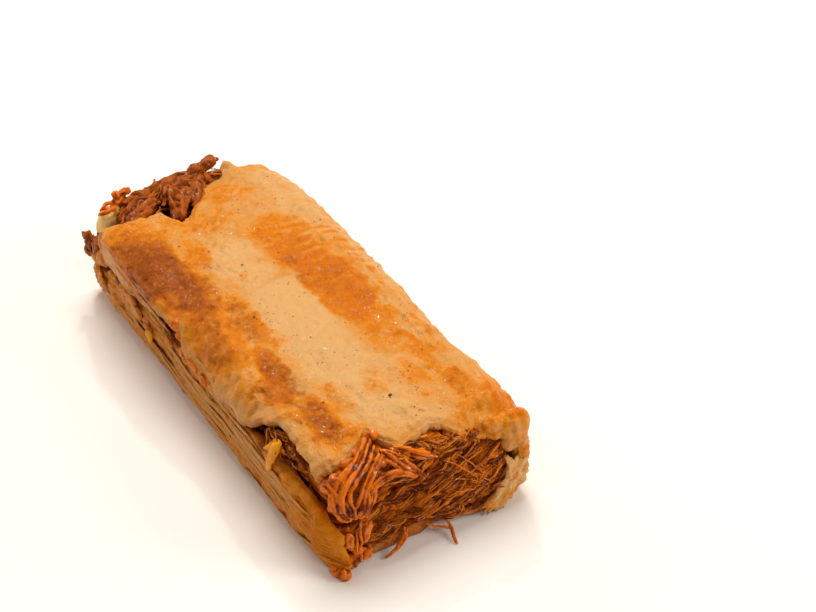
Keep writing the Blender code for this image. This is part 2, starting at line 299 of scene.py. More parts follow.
def outlineAt(girth):
    place = (girth % fullGirth) / fullGirth * outlineSteps
    k = int(place)
    pair = zip(outlineFine[k % outlineSteps], outlineFine[(k + 1) % outlineSteps])
    return [a + (b - a) * (place - k) for a, b in pair]


topOffset = 35.87  # on the top, girth less this is x


def skinPoint(girth, y, push):  # a point pushed out of the plain outer face
    x, z, nx, nz = outlineAt(girth)
    left, right = along(roll["leftEdge"], y), along(roll["rightEdge"], y)
    reach = (left + right) / 2 + x / roll["width"] * (right - left)
    height = z * along(roll["crown"], y) / roll["height"]
    lump = 0.9 * noise.noise(Vector((x, y * 0.8, z)) / 17)
    height -= 3.4 * ramp(52, 61, -y) * ramp(3, 15, reach) * ramp(6, 22, z)
    curlX, curlY, curlHeight = roll["curl"]
    curl = smooth(1 - abs(reach - curlX) / 3.8) * smooth(1 - (curlY - y) / 5)
    height += curlHeight * curl * ramp(20, 25, z)
    if girth < 20:
        middle = roll["crestGirth"] - 1.8 * smooth((36 - y) / 16)
        jut = max(0, 1 - abs(girth - middle) / roll["crestSpread"]) * smooth((y - 1) / 16)
        reach += roll["crestJut"][0] * jut
        height += roll["crestJut"][1] * jut
    total = smooth(z / 8) * lump + push
    middleX, middleY = roll["middle"]
    return Vector((reach + middleX + nx * total, y + middleY, height + nz * total))


jacket = {
    "columns": 280, "rows": 300,
    "columnShares": [(0, 0), (0.58, 64), (0.7, 84), (0.77, 134)],  # share and girth, as far as the underside
    "thickness": [(0, 1.9), (8, 3.4), (20, 3.8), (48, 3.8), (66, 5), (78, 5), (92, 3.6), (132, 3.6),
        (144, 3.4), (151, 1.9)],
    "rimFullness": 1.5, "baseFullness": 1.5,  # thicker dough at the front gap's rim and at the base's front
    "lip": [(-56, 7), (-53.6, 8.2), (-49, 10.2), (-36, 11), (-31.5, 8), (-27, 3.8), (-23, 1.9), (-15, 1.5),
        (-9.5, 0.1), (-4.5, -0.4), (0, 0.7), (5, 1.6), (9, 6), (19, 5.8), (23.5, 1.6), (44, 1.6), (55, 3.4)],
    "edge": [(-63.5, 6.5), (-60, 3.4), (-55, 0.8), (-50, -0.3), (-42, -1.2), (-31, -1.3), (-24, -1.1),
        (-15, -0.8), (-9.5, 0.9), (-4.5, 1.4), (0, 0.3), (18, 0.5), (24, -0.6), (36, 0), (44, 2.6),
        (55, 4.5), (63.5, 5.5)],
    "frontTear": [(0, -53), (8, -54.2), (12, -53.6), (18, -53.2), (21, -52.4), (23.4, -50.2), (25.7, -49.5),
        (28, -54), (30.2, -57), (34, -55.6), (39, -54), (42, -55.4), (45, -58.2), (51, -59.4), (59, -60.8),
        (70, -61.4), (74, -59.4), (77, -61.6), (84, -60.5), (91, -61.6), (96, -62.2), (99.5, -59),
        (104, -58.5), (111, -59.5), (117, -60.4), (130, -60.4), (134, -61.8), (140, -63), (145, -63.2),
        (150, -61)],
    "backTear": [(0, 55), (6, 54.8), (12, 52.2), (20, 51.5), (23.6, 52.5), (24.8, 47.4), (26.8, 44.8),
        (29.8, 46), (32, 48), (35, 51), (37.6, 53.6), (38.8, 57.6), (45, 59.6), (49, 62.6), (51.5, 60.4),
        (58, 60.4), (64, 59.2), (72, 58.4), (80, 59.4), (95, 60.4), (120, 61), (138, 62.2), (145, 63),
        (150, 61.5)],
    "crumble": 0.5, "rimBulge": 0.7,  # how ragged and how round the torn ends are
    "bandPitch": 2.9, "bandHeight": 0.36,  # folded layers on the lower wrap
    # raised and sunken places: (across, y, half width, half length, height)
    "lumps": [(-25, -20, 4, 5, 0.8), (-17.5, -27, 3, 4.5, -0.6), (-22, -42, 7, 8, 0.5),
        (-13, -48, 3.2, 4, 0.6), (-4, -44, 4, 5, 0.25), (20, -50, 4, 6, 0.6), (-22, 30, 6, 13, 0.35),
        (-15, 21, 3, 4, -0.35), (-26, 3, 3, 4, -0.4), (-24, -5, 3.5, 5, 0.5), (-28, -34, 3, 4, 0.5),
        (-6, 14, 4, 3, 0.35), (-9, 24, 5, 4, 0.3), (3, 30, 4, 6, 0.25), (22, -25.5, 2.5, 2, 0.5),
        (15, -40, 3, 6, -0.3), (9, -33, 5, 6, 0.25), (-27, 47, 4, 3, 0.5), (-8, 38, 5, 4, -0.3),
        (12, 48, 6, 6, 0.3), (-19, 48, 4, 3, 0.25), (5, -50, 5, 3, 0.3)],
}

# stains on the unrolled jacket: (across, y, half width, half length, strength, soft edge, any turn)
oilStains = [
(-25, 24, 9, 27, 0.95, 0.8), (-22, 42, 8, 9, 0.62, 0.9, 10), (-24, 0, 8.5, 17, 0.72, 0.9),
    (-18.5, -20, 3.4, 11, 0.9, 0.8, -8), (-24, -29, 7, 4, 0.7, 0.8, 20), (-23, -12, 6, 4, 0.7, 0.8),
    (-14, 27, 3.5, 8, 0.6, 0.9, -20), (-28, -36, 5, 7, 0.6, 0.9), (-21, -48, 5, 5, 0.5, 1),
    (-14.5, -4, 2.5, 12, 0.5, 1), (9, -38, 4, 6, 0.5, 1, 20), (1, -37, 5, 4, 0.42, 1),
    (24, -54, 5, 6, 0.62, 0.9), (30, -52, 4, 8, 0.5, 1), (-27, -20, 5, 9, 0.42, 1), (-14, -51, 5, 3, 0.4, 1),
    (11, 0, 7.5, 17, 0.95, 0.45), (9, 18, 6.5, 8, 0.9, 0.6, 20), (12, -14, 6, 9, 0.7, 0.6),
    (18, 14, 5, 12, 0.4, 0.9), (9, 28, 8, 8, 0.62, 0.9), (4, 46, 4.5, 10, 0.42, 1, -15),
    (-4, 41, 5, 7, 0.5, 1, 10), (13, 40, 3, 6, 0.22, 1), (16, -34, 1.3, 27, 0.62, 0.9),
    (11, -23, 5, 6, 0.5, 0.8), (17.5, -46, 3.5, 8, 0.75, 0.8), (25, -52, 4, 9, 0.45, 0.9),
    (21.2, -24, 1.2, 8, 0.6, 0.9, -3), (22, -2, 1, 10, 0.4, 0.9, -2), (-20, -43, 8, 9, 0.32, 1),
    (-12, -47, 3, 3, 0.45, 0.8), (8, -44, 3, 5, 0.28, 1), (14, -57, 8, 6, 0.4, 0.9),
    (2, -33, 3, 5, 0.22, 1, 20), (-9, -38, 3, 4, 0.25, 1), (31, -57, 3, 3, 0.5, 0.8),
    (27, 20, 4, 20, 0.25, 1), (-6, 14, 1.5, 2, 0.3, 0.9), (0, 19, 2, 1.5, 0.35, 0.9),
    (-20, -40, 6, 8, 0.85, 1), (-13.5, -5, 2.5, 8, 0.75, 1), (-23, -26, 5, 6, 0.8, 1),
    (-15, 2, 3, 9, 0.7, 1), (-24, -42, 6, 9, 0.95, 1), (-17, -46, 4, 6, 0.7, 1), (23, -56, 5, 4, 0.7, 0.8),
]
deepStains = [
(-24.5, 24, 6.5, 19, 1, 1), (-19.5, 17, 4, 7, 0.6, 1), (-24, 4, 3.5, 6, 0.5, 1),
    (-17.5, -26, 2.5, 6, 0.7, 0.9, -10), (-16.5, -15, 2, 4, 0.4, 1), (11, 2, 4.5, 8, 0.3, 1),
    (6, 16, 2, 3, 0.5, 1), (-24, -30, 4, 2, 0.5, 0.9, 20), (16, -46, 1.5, 5, 0.4, 0.9),
    (5, 8, 1.5, 4, 0.45, 1), (14, -8, 3, 4, 0.3, 1), (-18, -22, 3, 8, 0.7, 1), (-23, -41, 6, 8, 0.85, 1),
    (-26, -37, 4, 6, 0.6, 1), (-25, -4, 4, 8, 0.45, 1), (-24, -27, 4, 5, 0.6, 1),
    (-15.5, 0, 2.5, 9, 0.55, 1),
]
paleStains = [
(-3.2, -3, 9.2, 15, 1, 0.8), (-3.6, -21, 9, 16, 0.9, 0.9), (-1.5, -42, 9, 12, 0.75, 1),
    (-5, 18, 7, 14, 0.7, 1, -6), (-5, 15, 5, 4, 0.8, 0.8), (-8, 26, 7, 7, 0.6, 0.9),
    (20, 40, 8, 20, 0.6, 0.9), (24, 8, 4, 22, 0.7, 0.9), (2, -36, 10, 7, 0.45, 1), (4, -52, 7, 3, 0.5, 1),
]


def stainAt(stains, x, y):
    wx = x + 2 * grain(6.5, 1, x, y) + 0.9 * grain(2.4, 2, x, y) + 0.4 * grain(1.1, 51, x, y)
    wy = y + 2.6 * grain(7.5, 3, x, y) + 1.1 * grain(2.6, 4, x, y) + 0.4 * grain(1.1, 52, x, y)
    most = 0
    for mark in stains:
        cx, cy, rx, ry, strength, soft, turn = (*mark, 0)[:7]
        dx, dy = wx - cx, wy - cy
        reach = 1.8 * max(rx, ry)
        if abs(dx) < reach and abs(dy) < reach:
            c, s = cos(radians(turn)), sin(radians(turn))
            d = hypot((dx * c + dy * s) / rx, (dy * c - dx * s) / ry)
            most = max(most, strength * smooth((1 + soft / 2 - d) / soft))
    return most


def wrinkle(x, y):  # crosswise wrinkles over the right-hand stain
    place = y + 0.22 * x + 1.6 * grain(8, 10, x, y) + 0.5 * grain(3, 57, x, y)
    size = band(7, 24, 4, x) * band(2, 27, 7, y) * (0.55 + 0.45 * grain(6, 53, x, y))
    return size * sin(2 * pi * place / 3.5)


def huskRib(x, y):  # lengthwise print of the husk down the right side
    line = x + 0.9 * grain(2, 11, x * 0.3, y * 0.12)
    size = ramp(16, 21, x) * (1 - ramp(46, 52, x)) * (0.35 + 0.65 * (1 - ramp(0, 24, y)))
    return size * sin(2 * pi * line / 2.7)


def layer(girth, y):  # folded layers along the lower wrap: -0.3 in the valleys to 1 on the ridges
    wander = girth + 1.5 * grain(21, 12, y) + 0.9 * grain(6, 13, y, girth) + 0.05 * y
    number, t = divmod(wander / jacket["bandPitch"], 1)
    fade = 0.62 + 0.5 * grain(11, 54, number * 9, y)
    if t < 0.78:
        return fade * sin(0.5 * pi * t / 0.78)
    return fade * (1 - 1.3 * smooth((t - 0.78) / 0.14) + 0.39 * smooth((t - 0.9) / 0.1))


def doughRelief(girth, y):  # what the plain jacket lacks, in millimetres outwards
    x = girth - topOffset
    lowerWrap = ramp(fullGirth - 20, fullGirth - 15, girth)
    calm = 1 - 0.6 * band(-15, 3, 3, x) * band(-30, 9, 5, y)
    rough = 0.5 * grain(3.4, 6, x, y) + 0.26 * grain(1.6, 55, x, y)
    out = 0.45 * grain(8, 5, x, y) + calm * (rough - 1.1 * max(0, grain(2.2, 49, x, y) - 0.25))
    out += band(-34, -21, 4, x) * (0.45 * grain(8, 7, x * 1.2, y) + 0.2 * grain(3.4, 8, x, y))
    for cx, cy, rx, ry, height in jacket["lumps"]:
        if abs(x - cx) < 1.6 * rx and abs(y - cy) < 1.6 * ry:
            d = hypot((x - cx) / rx, (y - cy) / ry) + 0.15 * grain(3, 56, x, y)
            out += height * smooth(1.5 - d)
    # the smooth middle panel stands a little proud, with a sharp right edge and a crease behind it
    right = 1 - ramp(4, 4.9, x + 0.7 * grain(6, 9, 0, y))
    back = 1 - ramp(9.5, 10.6, y - 0.15 * x + 0.6 * grain(4, 58, x))
    out += 0.3 * ramp(-17, -13, x) * right * back * ramp(-50, -30, y)
    crease = abs(y - 10.6 - 0.2 * sin(x) - 0.12 * x)
    out -= 0.55 * smooth(1 - crease / 0.7) * band(-4, 5, 2, x)
    out += 0.14 * wrinkle(x, y) + 0.2 * huskRib(x, y)
    # thin layers at the flap's lip
    lipLayers = sin(2 * pi * (girth + 0.8 * grain(14, 59, y)) / 2.1)
    out += 0.2 * lipLayers * (1 - ramp(9, 12, girth)) * band(18, 46, 5, y)
    # folded layers and fine husk print on the lower wrap
    front = ramp(-40, -50, y)
    huskPrint = sin(2 * pi * (girth + 0.7 * grain(1.2, 60, girth * 0.4, y * 0.12)) / 1.25)
    folds = jacket["bandHeight"] * (1 - 0.45 * front) * (layer(girth, y) - 0.5)
    out += lowerWrap * (folds + (0.1 + 0.1 * front) * huskPrint + 0.45 * grain(5, 14, girth, y * 0.6))
    base = ramp(80, 88, girth) * (1 - ramp(fullGirth - 20, fullGirth - 16, girth))
    return out * (1 - base)


def columnGirth(share):
    return along(jacket["columnShares"] + [(1, fullGirth)], share, curved=False)


def tearAt(which, girth):
    place = along(jacket[which], girth, curved=False)
    for high, size, seed in ((1.1, 2.3, 15), (0.9, 1, 16), (0.5, 0.5, 19)):
        place += jacket["crumble"] * high * grain(size, seed, girth)
    return place


def sheetPoint(u, v, inward):  # u from lip to lower edge, v from front to back, inward 0 outside to 1 inside
    plain = columnGirth(u)
    front, back = tearAt("frontTear", plain), tearAt("backTear", plain)
    y = front + (back - front) * v
    lip = along(jacket["lip"], y) + 0.45 * grain(2.4, 17, y)
    edge = -along(jacket["edge"], y) + 0.4 * grain(2.5, 18, y)
    girth = plain + smooth(1 - plain / 30) * lip + smooth(1 - (fullGirth - plain) / 14) * edge
    toEnd = min(y - front, back - y)
    toSide = min(plain, fullGirth - plain) + 0.01
    thick = along(jacket["thickness"], girth) * (0.72 + 0.28 * smooth(toEnd / 6))
    thick += jacket["rimFullness"] * smooth((-y - 24) / 8) * ramp(fullGirth - 9, fullGirth - 2, girth)
    thick += jacket["baseFullness"] * smooth((-y - 48) / 8) * band(110, 132, 4, girth)
    atEnd, atSide = 1 - smooth(toEnd / 1.8), 1 - smooth(toSide / 1.8)
    rounding = 0.62 * atEnd + 0.4 * atSide * (1 - 0.4 * atEnd)
    outer = doughRelief(girth, y) * (0.35 + 0.65 * smooth(toEnd / 1.5)) - rounding
    lift = 0.9 * smooth(1 - girth / 9)
    if inward > 0:  # the rim bulges out of its own edge
        bulge = jacket["rimBulge"] * sin(pi * inward) * (1 + 0.8 * grain(1.6, 62, girth * 2, y, inward * 2))
        bulge += 0.25 * grain(1, 63, girth, y, inward * 4)
        if v in (0, 1):
            y += bulge if v else -bulge
        if u in (0, 1):
            girth += 0.6 * (bulge if u else -bulge)
    at = skinPoint(girth, y, lift + outer * (1 - inward) - inward * thick)
    at.z = max(at.z, floorGap)
    return at


def makeJacket(finish):
    bm = bmesh.new()
    columns, rows = jacket["columns"], jacket["rows"]
    bmesh.ops.create_grid(bm, x_segments=columns, y_segments=rows, size=1)
    layers = stainAndShadeLayers(bm)
    sheet = bm.verts.layers.float_vector.new("sheet")
    trim = 0.12  # rows lie closer together near the torn ends
    low = 0.5 - 0.5 * cos(pi * trim)
    for vertex in bm.verts:
        u, v = (vertex.co.x + 1) / 2, (vertex.co.y + 1) / 2
        v = 0.5 - 0.5 * cos(pi * (trim + (1 - 2 * trim) * v))
        vertex[sheet] = (u, (v - low) / (1 - 2 * low), 0)
    # the torn rims go in from the sheet's border, ring by ring, and a coarser inner face closes them
    border = openEdges(bm)
    for inward in (0.1, 0.25, 0.42, 0.6, 0.8, 1):
        made = bmesh.ops.extrude_edge_only(bm, edges=border)["geom"]
        border = [item for item in made if isinstance(item, bmesh.types.BMEdge) and item.is_boundary]
        for item in made:
            if isinstance(item, bmesh.types.BMVert):
                u, v, _ = item[sheet]
                item[sheet] = (u, v, inward)
    inner = bmesh.ops.create_grid(bm, x_segments=columns // 6, y_segments=rows // 8, size=1)["verts"]
    for vertex in inner:
        vertex[sheet] = ((vertex.co.x + 1) / 2, (vertex.co.y + 1) / 2, 1)
    for vertex in bm.verts:
        vertex.co = sheetPoint(*vertex[sheet]) * mm
    bmesh.ops.bridge_loops(bm, edges=openEdges(bm))
    for vertex in bm.verts:
        girth, y = columnGirth(vertex[sheet].x), vertex.co.y / mm
        mark(vertex, layers, **doughStainsAndShade(girth, y))
    bmesh.ops.recalc_face_normals(bm, faces=bm.faces)
    pieceFrom(bm, "masaJacket", finish, ["masa"])


# the jacket's colour layers: real stains, plus painted shade in troughs, fold valleys, along the seam and on
# the base's front rim
def doughStainsAndShade(girth, y):
    x = girth - topOffset
    side = ramp(fullGirth - 30, fullGirth - 16, girth)
    ridges = wrinkle(x, y)
    # painted shade in the troughs of the wrinkles and husk ribs, and painted light on the wrinkles' crests,
    # go into the oil layer over the real oil stains
    oil = stainAt(oilStains, x, y) + 0.3 * max(0, -ridges) - 0.45 * max(0, ridges) * ramp(7, 13, x)
    oil += 0.12 * max(0, -huskRib(x, y)) * ramp(-30, 0, 20 - y)
    pale = stainAt(paleStains, x, y)
    clouds = 0.46 * ramp(-0.15, 0.45, grain(9, 64, x, y)) + 0.2 * ramp(0.1, 0.4, grain(3.5, 65, x, y))
    oil = max(oil, clouds * (1 - 0.85 * pale) * (1 - side))
    seep = max(0, grain(4.5, 61, girth * 1.4, y * 0.45) - 0.16) * 2.2
    # painted shade in the valleys between the lower wrap's folded layers, carried by the oil layer
    valleyShade = max(0, 0.35 - layer(girth, y))
    oil = max(oil, side * min(1, 0.26 + seep + 0.4 * valleyShade + 0.3 * ramp(46, 56, -y)))
    # painted shade on the base's front rim, put in with the deep colour
    footShade = 0.8 * ramp(56.5, 59, -y) * band(92, 136, 3, girth)
    # a dark line along the seam: painted shadow under the flap's lip, together with sauce seeping there
    seam = 0.95 * smooth(1 - min(girth, fullGirth - girth) / 2.8) * band(-32, 46, 6, y)
    seam *= 0.6 + 0.6 * grain(4, 66, y, girth)
    # the deep colour takes the real deep stains, the painted shade on the base's rim and along the seam, and
    # seeping sauce made deeper toward the fold valleys as painted shade
    deep = max(stainAt(deepStains, x, y), footShade, seam, side * min(1, 1.3 * seep * (0.8 - layer(girth, y))))
    return {"oil": oil, "deep": deep, "pale": pale * (1 - 0.6 * smooth((oil - 0.4) * 3)),
            "side": max(side, band(88, fullGirth - 30, 4, girth))}


doughShades = {"pale": (0.67, 0.365, 0.135), "plain": (0.635, 0.275, 0.062), "side": (0.61, 0.2, 0.006),
               "yellow": (0.69, 0.222, 0.001), "orange": (0.58, 0.138, 0), "deep": (0.27, 0.047, 0)}
# spacing, share of it, patches and colour
chilliDots = [(1.3, 0.17, 3.2, (0.52, 0.11, 0.002)), (3, 0.085, 7, (0.18, 0.04, 0.001))]


def doughFinish():
    dough = Finish("dough", 0.28, 0.25, (1, 0.4, 0.12), 0.0018)
    dough.shade({"Specular Tint": (1, 0.66, 0.25)})
    big = dough.noise(9, 4, 0.6)
    middle = dough.noise(3.6, 7, 0.72, distortion=0.4)
    fine = dough.noise(1, 5, 0.65)
    wet = dough.noise(0.5, 2, 0.5)
    grit = 1 - dough.spots(1.3)
    base = dough.mix(doughShades["plain"], doughShades["pale"], big.above(0.46, 0.62) * 0.55)
    pale = dough.attribute("pale") * (1 + (middle - 0.5) * 2.6)
    base = dough.mix(base, doughShades["pale"], pale.above(0.2, 0.75))
    side = dough.attribute("side") * (0.8 + 1.2 * (middle - 0.5))
    base = dough.mix(base, doughShades["side"], side.clamped())
    # the oil layer, which also holds painted shade, soaks in with broken, speckled edges
    oil = dough.attribute("oil")
    soakAndShade = oil + (oil * 3).clamped() * ((middle - 0.5) * 1.9 + (fine - 0.5))
    base = dough.mix(base, doughShades["yellow"], soakAndShade.above(0.1, 0.62) * 0.95)
    base = dough.mix(base, doughShades["orange"], soakAndShade.above(0.4, 0.98))
    deep = dough.attribute("deep") * (1 + (middle - 0.5) * 2.6 + (fine - 0.5) * 1.8)
    base = dough.mix(base, doughShades["deep"], deep.above(0.15, 1) * 0.95)
    for size, share, near, colour in chilliDots:
        dots = (1 - dough.spots(size).above(share * 0.6, share)) * dough.noise(near, 2).above(0.46, 0.56)
        base = dough.mix(base, colour, dots * 0.8)
    height = fine * 0.5 + wet * 0.3 + middle * 0.9 + grit * 0.15 * big.above(0.35, 0.6)
    dough.shade({"Base Color": base, "Roughness": 0.38 + 0.35 * (fine - 0.5) - 0.08 * oil,
                 "Coat Weight": (wet.above(0.59, 0.64) * (0.4 + 0.1 * oil)).clamped(),
                 "Normal": dough.bump(height, 0.65, 0.7)})
    return dough.material


# leaves of folded dough along the left side: (girth from the seam, back end, front end, half height,
# half thickness, tilt, push); a leaf's top stands proud of it by its tilt
wrapLeaves = [
(-15.6, 52, -57, 1.3, 0.22, 0.06, 0), (-13.2, -8, -58, 1.1, 0.2, 0.1, 0.02),
    (-12.1, 57, 8, 1.1, 0.22, 0.12, 0.06), (-10, 60, -14, 1.1, 0.22, 0.12, 0.08),
    (-8.2, 44, -30, 1.1, 0.2, 0.13, 0.12), (-6.6, 36, -50, 1.2, 0.2, 0.14, 0.12),
    (-4.6, 8, -55, 1.15, 0.2, 0.15, 0.14), (-2.9, 26, -38, 1, 0.2, 0.14, 0.08),
    (-2.4, -20, -54, 1.2, 0.24, 0.22, 0.2), (-0.6, 9, -32, 0.9, 0.2, 0.12, -0.05),
    (-7.4, -14, -46, 0.8, 0.16, 0.14, 0.28),
]
flapLeaves = [
(2.6, 49, 22, 1, 0.25, 0.15, 0.28), (4.3, 50, 12, 1, 0.25, 0.15, 0.12),
    (6.2, 48, 20, 0.9, 0.22, 0.1, -0.05), (1.9, 8, -24, 0.8, 0.22, 0.1, 0.45),
    (4.2, 4, -20, 0.9, 0.2, 0.1, 0.05),
]


def makeLeaves(finish):
    bm = bmesh.new()
    layers = stainAndShadeLayers(bm)
    for number, (place, back, front, tall, thick, tilt, push) in enumerate(wrapLeaves + flapLeaves):
        made = bmesh.ops.create_grid(bm, x_segments=14, y_segments=int((back - front) * 1.8), size=1)["verts"]
        seed = 100 + number * 3.7
        onFlap = place > 0
        for vertex in made:
            turn, t = pi * (vertex.co.x + 1), (vertex.co.y + 1) / 2
            y = back + (front - back) * t
            taper = max(0.02, min(1, 5 * t, 5 * (1 - t))) ** 0.7
            wander = 1.1 * grain(19, seed, y, seed) + 0.6 * grain(6, seed + 1, y, seed)
            wander += 0.2 * grain(2.4, seed + 7, y, seed)
            high = 1.25 * tall * taper * (0.85 + 0.45 * grain(8, seed + 2, y, seed))
            up = high * cos(turn) + 0.16 * grain(1.4, seed + 5, y, turn * 2)
            depth = thick * (0.3 + 0.7 * taper) * (1 + 0.3 * grain(4, seed + 3, y))
            out = 0.75 * depth * sin(turn) + 0.6 * taper * (push + tilt * cos(turn))
            out += 0.12 * grain(2.2, seed + 4, y, up)
            nose = ramp(44, 58, -y)
            girth = place if onFlap else fullGirth + place * (1 - 0.18 * nose)
            girth += (wander + up) * (1 - 0.3 * nose)
            at = skinPoint(girth, y, out - 0.35 * nose)
            at.z = max(at.z, floorGap + 0.01)
            vertex.co = at * mm
            # painted shade on each leaf's underside, deepest near the seam
            underShade = ramp(0.1, 0.9, -cos(turn))
            seep = max(0, grain(4.5, seed + 6, y * 0.5, girth) - 0.05)
            oil = (0.05 if onFlap else 0.1) + 0.7 * seep + 0.15 * underShade + 0.3 * nose
            deep = (0.6 if abs(place) < 3.5 and y > -32 else 0.15) * underShade + 1.2 * max(0, seep - 0.2)
            mark(vertex, layers, oil=oil, deep=deep, side=0.55 if onFlap else 0.95)
    closeTubes(bm)
    pieceFrom(bm, "sideLeaves", finish)


meatLooks = {  # dark and light colours, wetness, then softness and where the wet patches start
    "coreMeat": ((0.07, 0.01, 0.0001), (0.42, 0.085, 0.001), 0.5),
    "faceMeat": ((0.1, 0.013, 0.0001), (0.74, 0.175, 0.002), 1),
    "strandMeat": ((0.16, 0.021, 0.0001), (0.78, 0.215, 0.006), 1),
    "chunkMeat": ((0.1, 0.013, 0.0002), (0.38, 0.085, 0.005), 0.5),
    "sauceMeat": ((0.19, 0.022, 0), (0.74, 0.165, 0.002), 0.9, 0.12, 0.48),
    "goldenDough": ((0.66, 0.17, 0.0005), (0.9, 0.36, 0.01), 0.5, 0.15),
    "oilyDough": ((0.92, 0.46, 0.06), (0.98, 0.7, 0.3), 0.5, 0.2),
    "chilli": ((0.16, 0.028, 0.0005), (0.52, 0.11, 0.001), 0.3),
}


def meatFinish(name, dark, light, wet, soft=0.06, wetFrom=0.5):
    flesh = Finish(name, 0.12, soft, (1, 0.25, 0.08), 0.001)
    big = flesh.noise(2.6, 4, 0.65)
    fine = flesh.noise(0.6, 3, 0.6)
    # the tone layer darkens hollows as painted shade and lightens bumps as painted light
    mixed = 0.5 + (big - 0.5) * 2 + (fine - 0.5) + flesh.attribute("tone") * 1.1
    flesh.shade({"Base Color": flesh.mix(dark, light, mixed.clamped()), "Roughness": 0.3 + 0.3 * fine,
                 "Coat Weight": wet * flesh.noise(1.2, 3, 0.6).above(wetFrom, wetFrom + 0.12),
                 "Normal": flesh.bump(fine + 0.5 * big, 0.25, 0.7)})
    return flesh.material


def remeshed(bm, voxel):  # overlapping closed shapes melted into one skin
    mesh = bpy.data.meshes.new("melting")
    bm.to_mesh(mesh)
    bm.free()
    holder = added("melting", mesh)
    remesh = holder.modifiers.new("remesh", "REMESH")
    remesh.mode = "VOXEL"
    remesh.voxel_size = voxel * mm
    evaluated = holder.evaluated_get(bpy.context.evaluated_depsgraph_get())
    bm = bmesh.new()
    bm.from_mesh(evaluated.to_mesh())
    bpy.data.objects.remove(holder)
    bm.normal_update()
    return bm


def hollows(bm, passes=8):  # each vertex with how far it sinks below its neighbours, in millimetres
    bm.normal_update()
    bm.verts.ensure_lookup_table()
    around = [[edge.other_vert(vertex).index for edge in vertex.link_edges] for vertex in bm.verts]
    places = [vertex.co.copy() for vertex in bm.verts]
    for _ in range(passes):
        sums = [sum((places[k] for k in near), places[i].copy()) for i, near in enumerate(around)]
        places = [total / (len(near) + 1) for total, near in zip(sums, around)]
    return [(vertex, (places[i] - vertex.co).dot(vertex.normal) / mm) for i, vertex in enumerate(bm.verts)]


def blob(bm, row, fullness=1):  # a row is a place and half sizes, then any turns about z and y in degrees
    x, y, z, a, b, c, yaw, pitch = (*row, 0, 0)[:8]
    turned = Matrix.Rotation(radians(yaw), 4, "Z") @ Matrix.Rotation(radians(pitch), 4, "Y")
    sizes = Vector((a, b, c)) * mm * fullness
    matrix = Matrix.Translation(Vector((x, y, z)) * mm) @ turned @ Matrix.Diagonal((*sizes, 1))
    bmesh.ops.create_icosphere(bm, subdivisions=3, radius=1, matrix=matrix)


def melted(rows, voxel):
    bm = bmesh.new()
    for row in rows:
        blob(bm, row)
    return remeshed(bm, voxel)


def runAt(points, k):  # which way a line of points goes at its k-th
    return (points[min(k + 1, len(points) - 1)] - points[max(k - 1, 0)]).normalized()


def addTube(bm, points, radii, sides, shade=None, flat=1, side=None):
    # a small grid rolled into a tube along its points; flat squeezes it into a ribbon
    rows = len(points)
    made = bmesh.ops.create_grid(bm, x_segments=sides, y_segments=rows - 1, size=1)["verts"]
    frames = []
    for k, point in enumerate(points):
        run = runAt(points, k)
        side = run.orthogonal() if side is None else side - run * side.dot(run)
        side.normalize()
        frames.append((point, side.copy(), run.cross(side)))
    for vertex in made:
        k = round((vertex.co.y + 1) / 2 * (rows - 1))
        angle = pi * (vertex.co.x + 1)
        point, across, up = frames[k]
        vertex.co = (point + (across * cos(angle) + up * (flat * sin(angle))) * radii[k]) * mm
        if shade:
            vertex[shade[0]] = shade[1]
    return made


def closeTubes(bm):
    bmesh.ops.remove_doubles(bm, verts=bm.verts, dist=0.004 * mm)
    bmesh.ops.holes_fill(bm, edges=openEdges(bm), sides=0)
    bmesh.ops.recalc_face_normals(bm, faces=bm.faces)


def addRibbons(bm, at, sizes, run, number, rng):  # flat fibres bent over a lump along run
    at, across = Vector(at), run.orthogonal().normalized()
    for _ in range(number):
        turn = rng.uniform(0, 2 * pi)
        tilted = (run + 0.3 * anyWay(rng)).normalized()
        outward = across * cos(turn) + run.cross(across) * sin(turn)
        outward = (outward - tilted * outward.dot(tilted)).normalized()
        high = rng.uniform(0.7, 1.06) / hypot(*(part / size for part, size in zip(outward, sizes)))
        long = rng.uniform(0.6, 1.25) / hypot(*(part / size for part, size in zip(tilted, sizes)))
        width, drift = rng.uniform(0.3, 0.95), rng.uniform(-0.5, 0.5) * long
        points, radii = [], []
        for k in range(9):
            t = k / 4 - 1
            bend = Vector([grain(3, seed, k, turn, far) for far, seed in ((0, 1), (5, 2), (9, 3))])
            rise = high * sqrt(1 - 0.7 * min(1, abs(t + drift / long)) ** 2)
            points.append(at + tilted * (long * t + drift) + outward * rise + 0.3 * bend)
            radii.append(width * (0.55 + 0.45 * sin(pi * (0.08 + 0.84 * k / 8))) * rng.uniform(0.8, 1.2))
        addTube(bm, points, radii, 8, flat=0.42, side=tilted.cross(outward))


room = {"left": -28.9, "back": 63.4, "top": 30.3}  # no lump of food goes past these


